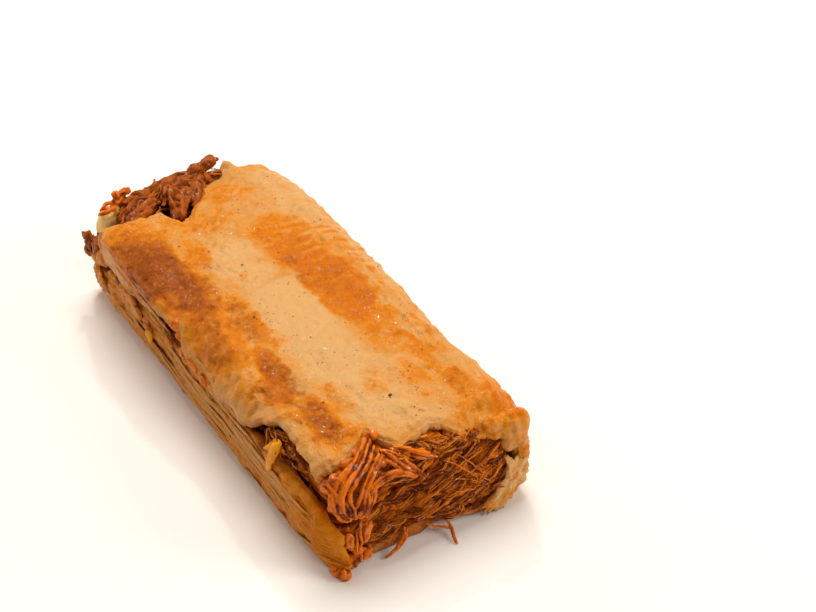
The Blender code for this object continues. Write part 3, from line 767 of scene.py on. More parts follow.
def makeChunk(name, seed, run, blobs, look="chunkMeat", slot="meat", replaced=(), coarse=0.4, fine=0.16,
              voxel=0.26, ribbons=16):
    # a lump of food: rounded blobs melted together, then given fibres along run and rough edges
    bm, rng = bmesh.new(), random.Random(seed)
    run = Vector(run).normalized()
    for row in blobs:
        addRibbons(bm, row[:3], row[3:6], run, ribbons, rng)
    closeTubes(bm)
    for row in blobs:
        blob(bm, row, 0.84 if ribbons else 1)
    bm = remeshed(bm, voxel)
    tone = toneLayer(bm)
    for vertex in bm.verts:
        at = vertex.co / mm
        ragged = 1 - 3 * abs(grain(3.4, seed + 2, *at)) + 0.6 * fibre(at, run, 1.2, seed + 3)
        ragged += 0.35 * grain(0.9, seed + 4, *at)
        swell(vertex, coarse * (grain(4.6, seed, *at) + 0.4 * grain(1.9, seed + 1, *at)) + fine * ragged)
        at = vertex.co / mm
        high = min(max(at.z, floorGap), room["top"])
        vertex.co = Vector((max(at.x, room["left"]), min(at.y, room["back"]), high)) * mm
    for vertex, hollow in hollows(bm):
        at = vertex.co / mm
        streak = 0.35 * fibre(at, run, 0.6, seed + 6) if ribbons else 0
        # painted shade in hollows and painted light on bumps, with fibre streaks and random tone
        vertex[tone] = max(-0.9, min(0.6, 0.1 - 3 * hollow + streak + 0.3 * grain(2.5, seed + 5, *at)))
    pieceFrom(bm, name, finishes[look], replaced)


meat = {"voxel": 0.62, "shrink": 0.9}
extraMeat = [  # fullness that the torn ends show
(-15, -55.4, 23, 7, 3, 2.3, 0, 3), (-3, -56.4, 23.4, 8, 2.8, 2.2), (8, -57.6, 22.2, 7, 2.6, 2.2, 0, 6),
    (-15.4, 57, 23.4, 6, 4.6, 2.4), (-4, 58.6, 24.6, 8.5, 3.8, 2.8, 0, -3), (5.5, 59.8, 25, 5, 2.8, 2.8),
    (-25.2, 55.6, 15, 2.2, 6, 5), (-25.6, 49, 18, 1.6, 5, 3), (-23.4, 60.2, 16, 2.8, 2.6, 5),
    (-25, 15.5, 16.5, 1.6, 5.5, 3.4), (-24.4, -40, 21, 2.2, 9, 3, 6, 0), (7.5, -60, 4, 6.5, 1.6, 2.2),
    (-14, -60.6, 6.4, 5.5, 1.4, 1.8),
]


def makeCore():
    bm = bmesh.new()
    bm.from_mesh(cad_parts["filling"].data)
    bmesh.ops.translate(bm, verts=bm.verts, vec=shift * -mm)
    bmesh.ops.remove_doubles(bm, verts=bm.verts, dist=0.02 * mm)
    for row in extraMeat:
        blob(bm, row)
    bm = remeshed(bm, meat["voxel"])
    envelope = BVHTree.FromBMesh(bm)
    tone = toneLayer(bm)
    for vertex in bm.verts:
        at = vertex.co / mm
        run = Vector((0.95, 0.1, 0.28)) if abs(at.y) > 54 else Vector((0.1, 0.95, 0.2))
        folds = 0.6 * fibre(at, run.normalized(), 1.5, 20) + 0.5 * grain(3.2, 21, *at)
        pits = max(0, grain(2.3, 22, at.x * 0.7, at.y * 0.7, at.z) - 0.2) * 4.2
        swell(vertex, folds - pits - meat["shrink"])
        # painted shade in the pits and painted light on the raised folds
        vertex[tone] = 0.5 * folds - 0.35 * pits
    pieceFrom(bm, "meatCore", finishes["coreMeat"], ["filling"])
    return envelope


strand = {"sides": 5, "points": 10}


def walk(tree, start, heading, length, rng, wander):  # points and normals along a surface
    at, normal = tree.find_nearest(start * mm)[:2]
    at = at / mm
    rows = [(at, normal)]
    heading = heading.normalized()
    bend = rng.gauss(0, wander)
    for k in range(strand["points"] - 1):
        bend += rng.gauss(0, wander * 0.5)
        heading = (heading - normal * heading.dot(normal)).normalized()
        heading = (heading + normal.cross(heading) * bend).normalized()
        at, normal = tree.find_nearest((at + heading * length / strand["points"]) * mm)[:2]
        at = at / mm
        rows.append((at, normal))
    return rows


def addBundle(bm, tone, rows, count, radius, spread, lift, rng):
    # strands that start together, fan out in the middle and meet again
    places = [at for at, normal in rows]
    shade = 0.6 if radius < 0.16 and rng.random() < 0.15 else rng.uniform(-0.6, 0.4)
    for j in range(count):
        offset = rng.uniform(-1, 1) * spread
        thickness = radius * rng.uniform(0.6, 1.3)
        height = lift + rng.uniform(-0.35, 0.3) * (0.5 + radius)
        arch = max(0, rng.gauss(0, 0.22))
        loose = rng.random() < 0.05
        first, stop = 0, len(rows)
        if rng.random() >= 0.6:
            first, stop = rng.randint(0, 2), len(rows) - rng.randint(0, 3)
        phase, wave = rng.uniform(0, 6.28), rng.uniform(0.02, 0.12)
        points, radii = [], []
        for k in range(first, stop):
            at, normal = rows[k]
            t = (k - first) / max(1, stop - first - 1)
            swing = sin(pi * t)
            out = height + arch * swing + wave * sin(phase + 8 * t)
            out += 1.3 * t ** 3 if loose else -0.5 * (1 - swing) ** 3
            fan = offset * (0.35 + 0.65 * swing) + wave * sin(phase * 2 + 7 * t)
            points.append(at + normal.cross(runAt(places, k)) * fan + normal * out)
            radii.append(thickness * (0.3 + 0.7 * sin(pi * (0.06 + 0.88 * t)) ** 0.5))
        addTube(bm, points, radii, strand["sides"], (tone, shade + rng.uniform(-0.2, 0.25)))


def makeStrands(name, patches, seed, tree):
    rng = random.Random(seed)
    bm = bmesh.new()
    tone = toneLayer(bm)
    for patch in patches:
        for k in range(patch["bundles"]):
            start = Vector([rng.uniform(low, high) for low, high in patch["box"]])
            heading = Vector(patch["run"]) + anyWay(rng) * patch["stray"]
            if rng.random() < patch.get("crossing", 0.1):
                heading = anyWay(rng)
            length, count = rng.uniform(*patch["length"]), rng.randint(*patch["strands"])
            radius, spread = rng.uniform(*patch["radius"]), patch["spread"] * rng.uniform(0.5, 1.4)
            rows = walk(tree, start, heading, length, rng, patch.get("wander", 0.05))
            addBundle(bm, tone, rows, count, radius, spread, patch["lift"], rng)
    closeTubes(bm)
    pieceFrom(bm, name, finishes["strandMeat"])


face = {"low": (-23.5, 3.2), "high": (22, 24.2), "foremost": -62.3, "plainDepth": -52, "skirt": 6,
        "columns": 260, "rows": 130, "hollows": 4.2, "threads": 0.8, "slope": 22}


def threads(x, z, length, width, seed):  # ridges near 1, hollows near 0
    angle = radians(face["slope"])
    bentX = x + grain(7, seed, x, z)
    bentZ = z + 1.5 * grain(8, seed + 1, x, z) + 0.4 * grain(2.2, seed + 2, x, z)
    run = bentX * cos(angle) + bentZ * sin(angle)
    across = bentZ * cos(angle) - bentX * sin(angle)
    return 1 - min(1, 2.6 * abs(grain(1, seed + 3, run / length, across / width)))


def makeFace(tree):
    bm = bmesh.new()
    bmesh.ops.create_grid(bm, x_segments=face["columns"], y_segments=face["rows"], size=1)
    tone = toneLayer(bm)
    (lowX, lowZ), (highX, highZ) = face["low"], face["high"]
    for vertex in bm.verts:
        x = lowX + (highX - lowX) * (vertex.co.x + 1) / 2
        z = lowZ + (highZ - lowZ) * (vertex.co.y + 1) / 2
        hit = tree.ray_cast(Vector((x, -90, z)) * mm, Vector((0, 1, 0)))[0]
        y = max(hit.y / mm if hit else face["plainDepth"], face["foremost"])
        net = threads(x, z, 3, 0.75, 84)
        ridge = max(threads(x, z, 5.5, 1.5, 80), 0.75 * threads(z * 1.3, x, 4, 1.6, 88))
        hollow = face["hollows"] * (1 - ridge) ** 1.3 * (0.55 + 0.6 * grain(6, 93, x, z))
        depth = max(0, hollow) + face["threads"] * (1 - net)
        back = 4 * ramp(3, 6, -x) * ramp(-6.6, -5.4, -z)
        vertex.co = Vector((x, y + 0.15 + depth + back + 0.5 * grain(3.5, 94, x, z), z)) * mm
        # painted shade in the hollows and between threads and painted light on the thread ridges; the next
        # line adds a real orange sauce patch low on the left
        vertex[tone] = 0.5 - 0.42 * depth + 0.25 * net + 0.2 * grain(5, 92, x, z)
        vertex[tone] += 0.3 * smooth((-x - 10) / 6) * smooth((13 - z) / 6)
    made = bmesh.ops.extrude_edge_only(bm, edges=openEdges(bm))["geom"]
    skirt = [item for item in made if isinstance(item, bmesh.types.BMVert)]
    bmesh.ops.translate(bm, verts=skirt, vec=(0, face["skirt"] * mm, 0))
    bmesh.ops.holes_fill(bm, edges=openEdges(bm), sides=0)
    bmesh.ops.recalc_face_normals(bm, faces=bm.faces)
    pieceFrom(bm, "meatFace", finishes["faceMeat"])


frontPatches = [
    dict(box=((-23, 19), (-62, -60), (5.5, 24.5)), run=(0.93, 0, 0.38), stray=0.07, bundles=220,
         strands=(2, 5), length=(4, 11), radius=(0.07, 0.17), spread=0.7, lift=0, crossing=0.05,
         wander=0.015),
    dict(box=((-21, 20), (-62, -60), (4, 23)), run=(0.93, 0, 0.38), stray=0.12, bundles=70, strands=(1, 3),
         length=(4, 10), radius=(0.17, 0.36), spread=0.8, lift=0.1, crossing=0.1, wander=0.02),
    dict(box=((-22, 17), (-60, -56), (23, 25)), run=(0.9, -0.5, -0.3), stray=0.3, bundles=90, strands=(2, 4),
         length=(2.5, 5), radius=(0.12, 0.34), spread=0.7, lift=0, crossing=0.15, wander=0.02),
    dict(box=((-2, 18), (-62, -59), (1, 6)), run=(0.9, 0, 0.1), stray=0.2, bundles=50, strands=(2, 4),
         length=(4, 9), radius=(0.08, 0.2), spread=0.6, lift=0.2, crossing=0.15, wander=0.05),
]
starPatches = [  # threads that meet in a star at the open end's right
    dict(box=((9, 17), (-62, -60), (6, 15)), run=(-0.9, 0, 0.5), stray=0.8, bundles=30, strands=(1, 3),
         length=(4, 8), radius=(0.08, 0.16), spread=0.4, lift=0.35, crossing=0.3, wander=0.02),
]
sidePatches = [
    dict(box=((-27, -24), (-56, -29), (14, 25)), run=(0.1, 0.9, 0.25), stray=0.35, bundles=60,
         strands=(2, 5), length=(2, 6), radius=(0.08, 0.22), spread=0.6, lift=0.05),
    dict(box=((-26, -24), (5, 13), (13, 25)), run=(0, 0.95, 0.2), stray=0.35, bundles=24, strands=(2, 4),
         length=(2, 5), radius=(0.08, 0.2), spread=0.5, lift=0.05),
    dict(box=((-22, 20), (58, 61), (4, 25)), run=(0.95, 0, 0.2), stray=0.2, bundles=120, strands=(3, 6),
         length=(5, 12), radius=(0.12, 0.28), spread=0.9, lift=0.05),
    dict(box=((-24, 10), (50, 60), (22, 26)), run=(0.95, 0.2, 0.1), stray=0.25, bundles=60, strands=(2, 5),
         length=(3, 8), radius=(0.1, 0.25), spread=0.8, lift=0.05),
]


def curveThrough(points, count):  # a smooth line through points
    points = [Vector(p) for p in points]
    line = []
    for k in range(count):
        place = k / (count - 1) * (len(points) - 1)
        i = min(int(place), len(points) - 2)
        t = place - i
        p0, p1, p2, p3 = points[max(i - 1, 0)], points[i], points[i + 1], points[min(i + 2, len(points) - 1)]
        bend = (2 * p0 - 5 * p1 + 4 * p2 - p3) * t * t + (3 * p1 - p0 - 3 * p2 + p3) * t ** 3
        line.append(0.5 * (2 * p1 + (p2 - p0) * t + bend))
    return line


# wet strips of meat at the open end's left: (points, half widths, strands side by side, half thickness)
foldStrips = [
    ([(-9, -49.5, 26), (-12.2, -53, 26.2), (-16, -56.4, 25.6), (-20.4, -58.8, 24.4), (-22.8, -60.2, 21.6),
     (-22.8, -61.4, 18.6), (-21.4, -62, 15.8)], [1, 1.4, 1.9, 2.4, 2.6, 2, 0.9], 7, 1.1),
    ([(-21.2, -62, 15.6), (-19.6, -62.1, 17.4), (-18.4, -61.7, 19.8), (-17.4, -60.9, 22),
     (-15.4, -59.8, 23.6), (-12.6, -58.4, 24.8), (-10.4, -56.4, 25.4)], [0.8, 1.2, 1.2, 1.1, 1, 0.9, 0.6], 5,
     0.7),
    ([(-17.4, -61.6, 19.4), (-15.2, -61.2, 21.6), (-12.4, -60.9, 22.6), (-9.4, -60.9, 22.6),
     (-6.6, -61.2, 21.4), (-4.2, -61.5, 19.6)], [0.5, 0.7, 0.7, 0.8, 0.6, 0.3], 4, 0.35),
    ([(-10.6, -55.6, 25.6), (-8.8, -58, 24.8), (-6.4, -60, 22.8), (-4, -61, 20.4), (-1.4, -61.8, 17.8)],
     [0.8, 1.2, 1.2, 1, 0.4], 6, 0.6),
    ([(-12, -57, 25), (-14, -59.6, 22.4), (-16.2, -61.2, 18.8), (-17.6, -61.9, 15.4), (-18.4, -62.1, 12.4)],
     [0.6, 0.9, 0.9, 0.8, 0.3], 6, 0.5),
    ([(-25.2, -56.6, 24.8), (-24.8, -58.8, 24), (-24, -60.4, 21.8), (-23.4, -61.4, 19.4)], [1, 1.4, 1.3,
     0.6], 7, 0.7),
    ([(-8, -55, 25.4), (-5, -58, 24.8), (-1.6, -59.8, 23.8), (1.8, -60.8, 22.4)], [0.6, 1, 0.9, 0.3], 6,
     0.45),
    ([(-16.8, -62, 13), (-18, -62.3, 10), (-18.6, -62.5, 7.4)], [0.8, 0.7, 0.3], 5, 0.4),
]
foldLumps = [
(-22.4, -57.6, 24.6, 2, 1.6, 1.3), (-18.2, -55.4, 25.4, 2.2, 1.6, 1.2),
    (-14.6, -53.6, 25.8, 1.9, 1.5, 1.1), (-24.8, -57, 23.2, 1.5, 1.6, 1.4), (-9.4, -50.8, 26.2, 1.4, 1.4, 1),
    (-19.6, -57.8, 22.2, 2, 1.6, 1.6), (-11.4, -57.4, 24.4, 1.6, 1.3, 1), (-24.6, -59.4, 19.6, 1.2, 1.2, 2),
]


def makeFold():
    rng = random.Random(5)
    bm = bmesh.new()
    outward = Vector((-0.35, -0.8, 0.48)).normalized()
    for points, widths, strands, thick in foldStrips:
        count = 5 * len(points)
        line = curveThrough(points, count)
        for j in range(strands):
            offset = 2 * (j + 0.5) / strands - 1
            phase, drift = rng.uniform(0, 6.28), rng.uniform(0.2, 1)
            rising, start, stop = rng.uniform(-0.9, 0.8), rng.randint(0, 4), count - rng.randint(0, 6)
            bulk, route, radii = rng.uniform(0.6, 1.35), [], []
            for k in range(start, stop):
                t = k / (count - 1)
                half = evenly(widths, t)
                across = runAt(line, k).cross(outward).normalized() * half
                swing = offset + 0.35 * drift * sin(phase + 7 * t)
                route.append(line[k] + across * swing + outward * thick * (rising + 0.6 * (1 - offset ** 2)))
                radii.append(bulk * (0.15 + 1.3 * half / strands) * (0.85 + 0.25 * sin(phase + 9 * t)))
            addTube(bm, route, radii, 9)
    for row in foldLumps:
        blob(bm, (*row, rng.uniform(-40, 40), rng.uniform(-30, 30)))
    closeTubes(bm)
    bm = remeshed(bm, 0.2)
    tone = toneLayer(bm)
    run = Vector((-0.3, -0.3, -0.9)).normalized()
    for vertex in bm.verts:
        at = vertex.co / mm
        swell(vertex, 0.3 * grain(2.2, 30, *at) + 0.1 * fibre(at, run, 1, 31))
    for vertex, hollow in hollows(bm):
        # painted shade in the hollows and painted light on the raised strands, with random tone
        vertex[tone] = max(-0.8, min(0.6, -0.1 - 5 * hollow + 0.8 * grain(3.4, 32, *(vertex.co / mm))))
    pieceFrom(bm, "meatFold", finishes["sauceMeat"], ["meat_fold"])


looseLines = [  # single strands, hanging over the front, and stray ends: (points, radius)
    ([(-7, -60.6, 5.2), (-8, -61.6, 3.8), (-9.6, -62.2, 2.2), (-11.4, -62.7, 1.1), (-13.4, -62.9, 0.5)],
     0.45),
    ([(-6.4, -61, 4.4), (-8.2, -62.2, 2.6), (-10.4, -62.6, 1.2)], 0.35),
    ([(3, -60.4, 3.4), (3.6, -62, 2.4), (3.7, -63.4, 1.5), (3.4, -64.4, 1.05), (3, -65.6, 0.75),
     (2.7, -66.8, 0.6), (2.5, -67.5, 0.5)], 0.42),
    ([(-1.5, -60.8, 3.2), (0.6, -61.8, 2.2), (2.4, -62.6, 1.7), (3.6, -63.4, 1.4)], 0.35),
    ([(-20.4, -61.8, 12), (-20.6, -62.6, 9), (-20.9, -62.8, 6)], 0.3),
    ([(10.4, -60.6, 16.4), (13, -61.6, 12.8), (15.6, -61.6, 11)], 0.22),
    ([(3, -61, 20.8), (7, -62, 17.4), (12.6, -61.8, 10.6)], 0.17),
    ([(-19.2, -62, 14.6), (-19.8, -62.6, 11.2), (-19.4, -62.6, 8.4), (-20.2, -62.6, 6.4)], 0.36),
    ([(6, -61.2, 3.4), (9, -62, 2.4), (11.6, -62.2, 2.2), (13, -62, 3)], 0.28),
]


def makeLoose():
    bm = bmesh.new()
    tone = toneLayer(bm)
    for points, radius in looseLines:
        count = 6 * len(points)
        line = curveThrough(points, count)
        line = [p + 0.25 * Vector((grain(1.2, 40, *p), grain(1.2, 41, *p), 0)) for p in line]
        radii = [radius * (0.4 + 0.6 * sin(pi * (0.1 + 0.8 * k / count))) for k in range(count)]
        addTube(bm, line, radii, 8, (tone, 0.3))
    closeTubes(bm)
    pieceFrom(bm, "looseShreds", finishes["sauceMeat"], ["loose_shred"])


flakeEdge = [  # outline of the pale flake of dough at the front right foot: (across, height)
(24.4, 11.6), (26.6, 10.5), (26.4, 9), (25, 8.6), (26.1, 5.9), (25.2, 4.1), (22, 2.4), (18.6, 0.9),
    (17.6, 0.3), (16.5, 0.3), (13.8, 1.1), (12.3, 1.8), (12.7, 3.2), (16, 4.9), (18.6, 7.6), (19.7, 9.5),
    (19.5, 13.9), (22, 13),
]


def makeFlake(finish):
    bm = bmesh.new()
    layers = stainAndShadeLayers(bm)
    around, middle = 120, Vector((20.8, 0, 6.6))
    edge = curveThrough([(x, 0, z) for x, z in flakeEdge + flakeEdge[:1]], around + 1)
    bmesh.ops.create_grid(bm, x_segments=around, y_segments=24, size=1)
    for vertex in bm.verts:
        rim, v = edge[round((vertex.co.x + 1) / 2 * around) % around], (vertex.co.y + 1) / 2
        share = 1 - abs(2 * v - 1)
        rag = 0.2 * grain(1.1, 90, rim.x, rim.z) + 0.14 * grain(0.6, 94, rim.x, rim.z)
        at = middle + (rim - middle) * share * (1 + rag * share ** 3)
        lean = -61.6 - 1.2 * smooth((6 - at.z) / 6) + 0.1 * (at.x - 20)
        lean += 0.9 * grain(3, 91, at.x, at.z) + 0.4 * grain(1.2, 92, at.x, at.z)
        thick = 0.75 * (1 - share ** 5) * (1 if v > 0.5 else -1)
        vertex.co = Vector((at.x, lean + thick, max(0.05, at.z))) * mm
        oil = 0.3 * ramp(-0.2, 0.3, grain(2.5, 93, at.x, at.z)) + 0.25 * ramp(-6, -2, -at.z)
        mark(vertex, layers, pale=0.8, oil=oil)
    closeTubes(bm)
    pieceFrom(bm, "doughFlake", finish)


wallRows = [  # the right wall's swollen, oil-soaked end
(22.6, -59.9, 18.6, 3.6, 2, 4.8, 0, 8), (21.4, -58.4, 21.6, 4.4, 2.8, 2.8),
    (24.8, -59.6, 13, 2.3, 2, 4.6, 0, 10), (25, -58.6, 19, 2.2, 2.8, 5), (17.4, -58.8, 23.2, 2.6, 2, 1.9),
]


def makeWallEnd(finish):
    bm = melted(wallRows, 0.34)
    layers = stainAndShadeLayers(bm)
    for vertex in bm.verts:
        at = vertex.co / mm
        ribs = 0.12 * sin(at.x * 2.6 + at.z * 0.3)
        swell(vertex, 0.5 * grain(3.4, 85, *at) + 0.22 * grain(1.4, 86, *at) + ribs)
        oil = 0.2 + 0.5 * max(0, grain(2.6, 87, *at)) + 0.3 * smooth((at.z - 21) / 3)
        mark(vertex, layers, oil=oil, pale=0.3)
    pieceFrom(bm, "wallEnd", finish)


seamLumps = [  # lumps and crumbs of dough in the seam
(-27.9, 49.6, 24, 1.1, 1.3, 1.1), (-28.4, 42.5, 22.6, 0.9, 1.5, 1.3, 0, 20),
    (-28.4, 44.3, 23.5, 0.8, 1.2, 0.8), (-28.4, 42.4, 19.4, 0.9, 1.2, 1.6), (-28.5, 37, 19.5, 0.8, 1.8, 1.1),
    (-28.3, 35, 15.4, 1.1, 2.2, 1.6), (-28.3, 32.4, 13.2, 1, 2.6, 1.3, 0, -20),
    (-28.2, 27.9, 11.9, 0.7, 1.5, 0.8), (-27.9, 57.4, 10.2, 0.8, 2.6, 1.7), (-28.1, 54.8, 8, 0.7, 2.2, 1.8),
    (-28.3, 21.4, 18.6, 0.6, 3, 0.6), (-28.2, 14.5, 15.8, 0.8, 2.2, 1), (-27.4, 53, 17, 1.5, 3, 2.6, 0, 20),
    (-27, 56.4, 15.4, 1.6, 2.8, 2.4), (-27.2, 58.6, 13, 1.4, 2.6, 2), (-27.6, 49.6, 19.6, 1.3, 2.4, 2.2),
    (-27.8, 46.4, 21.4, 1.2, 2, 1.6), (-27.6, 39.8, 14.6, 1.2, 3.6, 1.6, 0, -15),
    (-28.1, 5.2, 16.6, 0.7, 1.8, 0.9), (-28.3, -9, 17.4, 0.6, 2.6, 0.7), (-28.2, 46.6, 15.6, 0.8, 2.4, 1),
]


def makeCrumbs(finish):
    bm = melted(seamLumps, 0.3)
    layers = stainAndShadeLayers(bm)
    for vertex in bm.verts:
        at = vertex.co / mm
        rise = 0.55 * grain(1.9, 95, *at) + 0.25 * grain(0.9, 96, *at)
        swell(vertex, rise)
        # painted light on the crumbs' raised parts and painted shade in their dips
        mark(vertex, layers, side=0.8, pale=max(0, 0.15 + rise), oil=0.2 + 0.8 * max(0, -rise))
    pieceFrom(bm, "seamCrumbs", finish)


chips = [  # splinters of oil-soaked dough: (points, half widths)
    ([(-26.4, -39, 23.4), (-27.8, -38.4, 20.4), (-28.6, -37.4, 16.8), (-28.9, -36.4, 13.4)], [0.9, 1.7, 1.3,
     0.15]),
    ([(-26.4, -37.2, 22.4), (-27.6, -36.4, 20.4), (-28.6, -34.8, 19.4)], [0.6, 0.9, 0.1]),
    ([(-28.2, 27, 11.4), (-28.8, 25.6, 10.4), (-28.9, 24.4, 8.8)], [0.8, 1.5, 0.5]),
]


def makeChips():
    bm = bmesh.new()
    tone = toneLayer(bm)
    for points, widths in chips:
        count = 6 * len(points)
        radii = [evenly(widths, k / (count - 1)) for k in range(count)]
        line = curveThrough(points, count)
        for vertex in addTube(bm, line, radii, 12, (tone, 0.1), 0.35, Vector((0, 1, 0))):
            vertex.co += Vector((0, 0.35, 0.35)) * mm * grain(1.3, 97, *(vertex.co / mm))
    closeTubes(bm)
    pieceFrom(bm, "oilyChips", finishes["goldenDough"])


flecks = {
    "listed": [(-15, 34, 0.5), (-19, 30, 0.4), (-9.5, 28.5, 0.45), (-5, 19.5, 0.4), (5, 19.5, 0.35),
        (-9, 3, 0.4), (-12.5, -1, 0.6), (-13.5, -36, 0.7), (1, -42, 0.75), (20.5, -15, 0.4),
        (-12.3, -1.8, 0.4), (0.4, -42.6, 0.45), (10, -36, 0.4)],
    "number": 330, "sizes": (0.1, 0.28),
}


def makeFlecks():  # ground chilli on the dough
    rng = random.Random(9)
    bm = bmesh.new()
    tone = toneLayer(bm)
    places = list(flecks["listed"])
    while len(places) < flecks["number"]:
        x, y = rng.uniform(-27, 27), rng.uniform(-52, 50)
        if grain(11, 98, x, y) > -0.1:
            places.append((x, y, rng.uniform(*flecks["sizes"])))
    for x, y, size in places:
        girth = x + topOffset
        at = skinPoint(girth, y, 0.9 * smooth(1 - girth / 9) + doughRelief(girth, y) + 0.03)
        turned = Matrix.Translation(at * mm) @ Matrix.Rotation(rng.uniform(0, 6.28), 4, "Z")
        matrix = turned @ Matrix.Diagonal((size, size * rng.uniform(0.4, 0.8), 0.22 * size, 1))
        made = bmesh.ops.create_icosphere(bm, subdivisions=1, radius=mm, matrix=matrix)["verts"]
        shade = rng.uniform(-0.5, 0.5)
        for vertex in made:
            vertex.co += anyWay(rng) * mm * 0.12 * size
            vertex[tone] = shade
    bmesh.ops.recalc_face_normals(bm, faces=bm.faces)
    pieceFrom(bm, "chilliFlecks", finishes["chilli"])


# lumps of meat and dough; noseMeat lies on both sides of the lower wrap's nose, down to the floor
chunks = {
    "noseMeat": dict(seed=77, run=(0.2, 0, 1), look="sauceMeat", slot="meat_sauce", coarse=0.35, fine=0.15,
        voxel=0.22, ribbons=8, blobs=[(-24.2, -62.6, 0.9, 1.7, 1.5, 1.2, 20, 0),
        (-25, -61, 1.2, 1.2, 1.6, 1.1), (-21.8, -61.4, 2.8, 1.3, 1, 2.6),
        (-20.4, -61.6, 5.6, 1.1, 0.9, 2.4, 0, -10), (-21.6, -61.6, 9.2, 1.2, 0.9, 2.2),
        (-18, -61.6, 3, 2, 0.9, 1.6)]),
    "backMeat": dict(seed=60, run=(1, 0, 0.1), replaced=["back_meat"],
        blobs=[(-17.4, 61.4, 25, 2.6, 1.7, 1.9), (-13, 61.2, 25.4, 3.4, 1.8, 1.8, 10, 0),
        (-8.6, 61.6, 25.8, 3, 1.7, 1.9, -8, -4), (-4.4, 61.4, 26, 3.2, 1.8, 1.9, 6, 0),
        (-0.2, 61.6, 26.6, 3, 1.7, 1.8, 0, -10), (3.6, 61.6, 27.4, 2.6, 1.6, 1.7, 0, -14),
        (6.8, 61.8, 28.3, 2.2, 1.5, 1.5, 0, -20), (8, 61.8, 29.2, 1.2, 1.2, 1, 0, -50)]),
    "notchMeat": dict(seed=63, run=(0.5, 1, 0.1), replaced=["notch_meat"],
        blobs=[(-7.6, 48.6, 25.5, 1.9, 2.4, 1.6), (-5.6, 52.2, 26, 2.6, 3.6, 2, -12, 0),
        (-2, 54.2, 26.2, 3, 3.8, 1.8, 20, 0), (-6, 57, 26.2, 3.4, 2.6, 1.7), (1.4, 57, 26.2, 2.6, 2.6, 1.5),
        (-2, 59.6, 26.2, 4, 2, 1.4), (4.4, 58.8, 26.4, 2.6, 2, 1.3, 0, -10)]),
    "cornerMeat": dict(seed=66, run=(1, 0.4, 0.1), replaced=["corner_meat"],
        blobs=[(-17, 54.6, 24.4, 3.6, 2.6, 1.7, 20, 6), (-13, 56.4, 24.8, 3.4, 2.6, 1.6, 40, 0),
        (-15.4, 59.4, 25.2, 3.6, 2, 1.6, 10, 0), (-18.6, 57.8, 24.2, 2.2, 2.4, 1.5, 0, 10),
        (-10.6, 59.4, 25, 2, 2.2, 1.3)]),
    "sideMeat": dict(seed=69, run=(0.1, 0.8, 0.6), replaced=["side_meat"], fine=0.2, ribbons=12,
        blobs=[(-26, 58.4, 17, 1.9, 3.4, 2.8, 8, 0), (-27, 61.4, 16, 1.6, 2.4, 3, 16, 0),
        (-27.6, 62.6, 18, 1.2, 1.6, 1.2), (-27.9, 62.4, 13.8, 0.9, 1.4, 1.4),
        (-27, 56.4, 18.6, 1.2, 2.2, 1.2, 0, 20)]),
    "seamMeat": dict(seed=81, run=(0, 1, 0.5), look="sauceMeat", slot="filling", fine=0.2, voxel=0.24,
        ribbons=7, blobs=[(-27, 11, 23, 1.3, 2.2, 1.2), (-27.2, 8.6, 21, 1.3, 1.8, 1.8),
        (-27.4, 6.4, 18, 1.2, 1.8, 1.4), (-27.9, 1.5, 17.4, 0.8, 2.4, 0.7),
        (-27.9, -3.8, 17.2, 0.7, 2.4, 0.6)]),
    "yellowChunk": dict(seed=72, run=(0, 0, 1), look="oilyDough", slot="yellow_masa",
        replaced=["yellow_scrap"], coarse=0.5, fine=0.12, voxel=0.3, ribbons=0,
        blobs=[(-22.4, 60.4, 21.8, 3, 2.2, 3.2), (-23.6, 60.2, 20.8, 2.1, 2.2, 2.4),
        (-20, 60.8, 22.8, 1.7, 1.9, 3.2), (-22.6, 60.2, 24.4, 2.2, 1.6, 1.2)]),
    "cornerNub": dict(seed=74, run=(1, 0, 0), look="sauceMeat", slot="meat_sauce", fine=0.15, voxel=0.24,
        ribbons=7, blobs=[(-21.6, 60.4, 25.9, 2.2, 1.4, 0.9, 0, 10),
        (-18.6, 61.2, 26.8, 1.7, 1.2, 1.3, 0, -10), (-16, 61.8, 28, 1.5, 0.9, 0.8, 0, -15),
        (-18.8, 61.6, 28.4, 0.8, 0.8, 0.9)]),
}


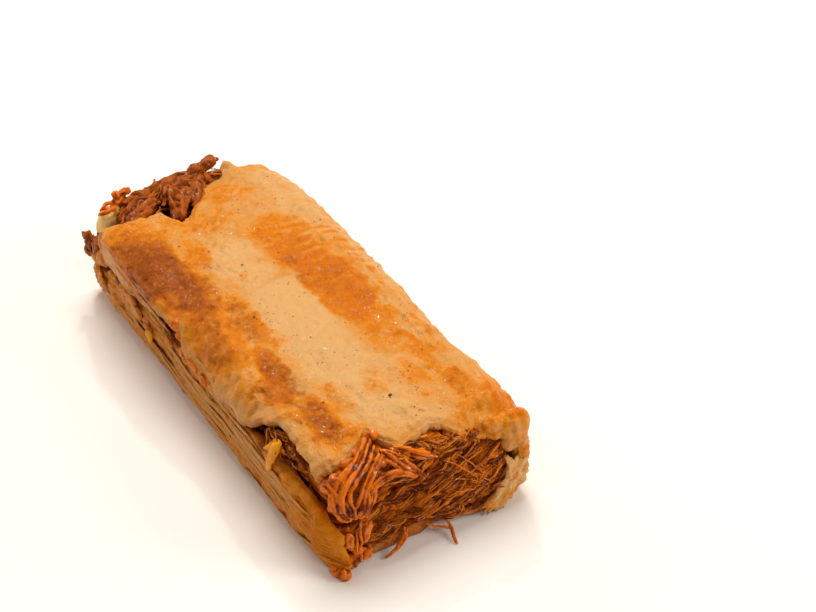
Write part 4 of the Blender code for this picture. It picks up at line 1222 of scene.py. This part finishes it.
def makeStudio():
    bm = bmesh.new()
    bmesh.ops.create_grid(bm, x_segments=2, y_segments=2, size=3)
    floor = added("floor", bpy.data.meshes.new("floor"))
    bm.to_mesh(floor.data)
    bm.free()
    paper = Finish("paper", 0.1)
    paper.shade({"Roughness": 0.9, "Base Color": (0.93, 0.9, 0.87)})
    floor.data.materials.append(paper.material)
    scene.world = bpy.data.worlds.new("studio")
    scene.world.use_nodes = True
    background = scene.world.node_tree.nodes["Background"]
    background.inputs[0].default_value = (1, 0.87, 0.68, 1)
    background.inputs[1].default_value = 0.21
    lamps = {  # place, target, size and power
        "overhead": ((0.18, 0.27, 0.79), (0.02, 0, 0), 0.55, 5.5),
        "side": ((0.56, -0.5, 0.37), (0, 0, 0.01), 0.4, 2.9),
        "back": ((-0.3, 0.58, 0.32), (0, 0.03, 0.01), 0.25, 0.9),
        "glint": ((0.26, 0.46, 0.56), (0, 0, 0.01), 0.04, 0.9),
        "leftGlint": ((-0.3, 0, 0.6), (0, 0, 0.01), 0.04, 0.3),
        "frontGlint": ((-0.08, -0.42, 0.62), (0, -0.05, 0.01), 0.05, 0.5),
    }
    for name, (where, target, size, power) in lamps.items():
        light = bpy.data.lights.new(name, "AREA")
        light.shape = "DISK"
        light.size = size
        light.color = (1, 0.965, 0.91)
        light.energy = power
        lamp = added(name, light)
        lamp.location = Vector(where) + shift * mm
        lamp.rotation_euler = (Vector(target) - Vector(where)).to_track_quat("-Z", "Y").to_euler()


def makeCamera():
    azimuth, elevation, distance = radians(-31.8), radians(38), 0.506
    target = Vector((0.0395, 0.0131, 0)) + shift * mm
    level = cos(elevation)
    back = Vector((sin(azimuth) * level, -cos(azimuth) * level, sin(elevation)))
    lens = bpy.data.cameras.new("camera")
    lens.lens = 85
    lens.sensor_width = 36
    camera = added("camera", lens)
    camera.location = target + back * distance
    camera.rotation_euler = back.to_track_quat("Z", "Y").to_euler()
    scene.camera = camera


makeStudio()
makeCamera()
doughMaterial = doughFinish()
for makeDough in (makeJacket, makeLeaves, makeCrumbs, makeFlake, makeWallEnd):
    makeDough(doughMaterial)
finishes = {name: meatFinish(name, *looks) for name, looks in meatLooks.items()}
envelope = makeCore()
makeFace(envelope)
makeStrands("frontStrands", frontPatches, 11, envelope)
makeStrands("starStrands", starPatches, 13, envelope)
makeStrands("otherStrands", sidePatches, 12, envelope)
makeFold()
makeLoose()
makeChunk("noseMeat", **chunks["noseMeat"])
makeChips()
makeFlecks()
for name in list(chunks)[1:]:
    makeChunk(name, **chunks[name])
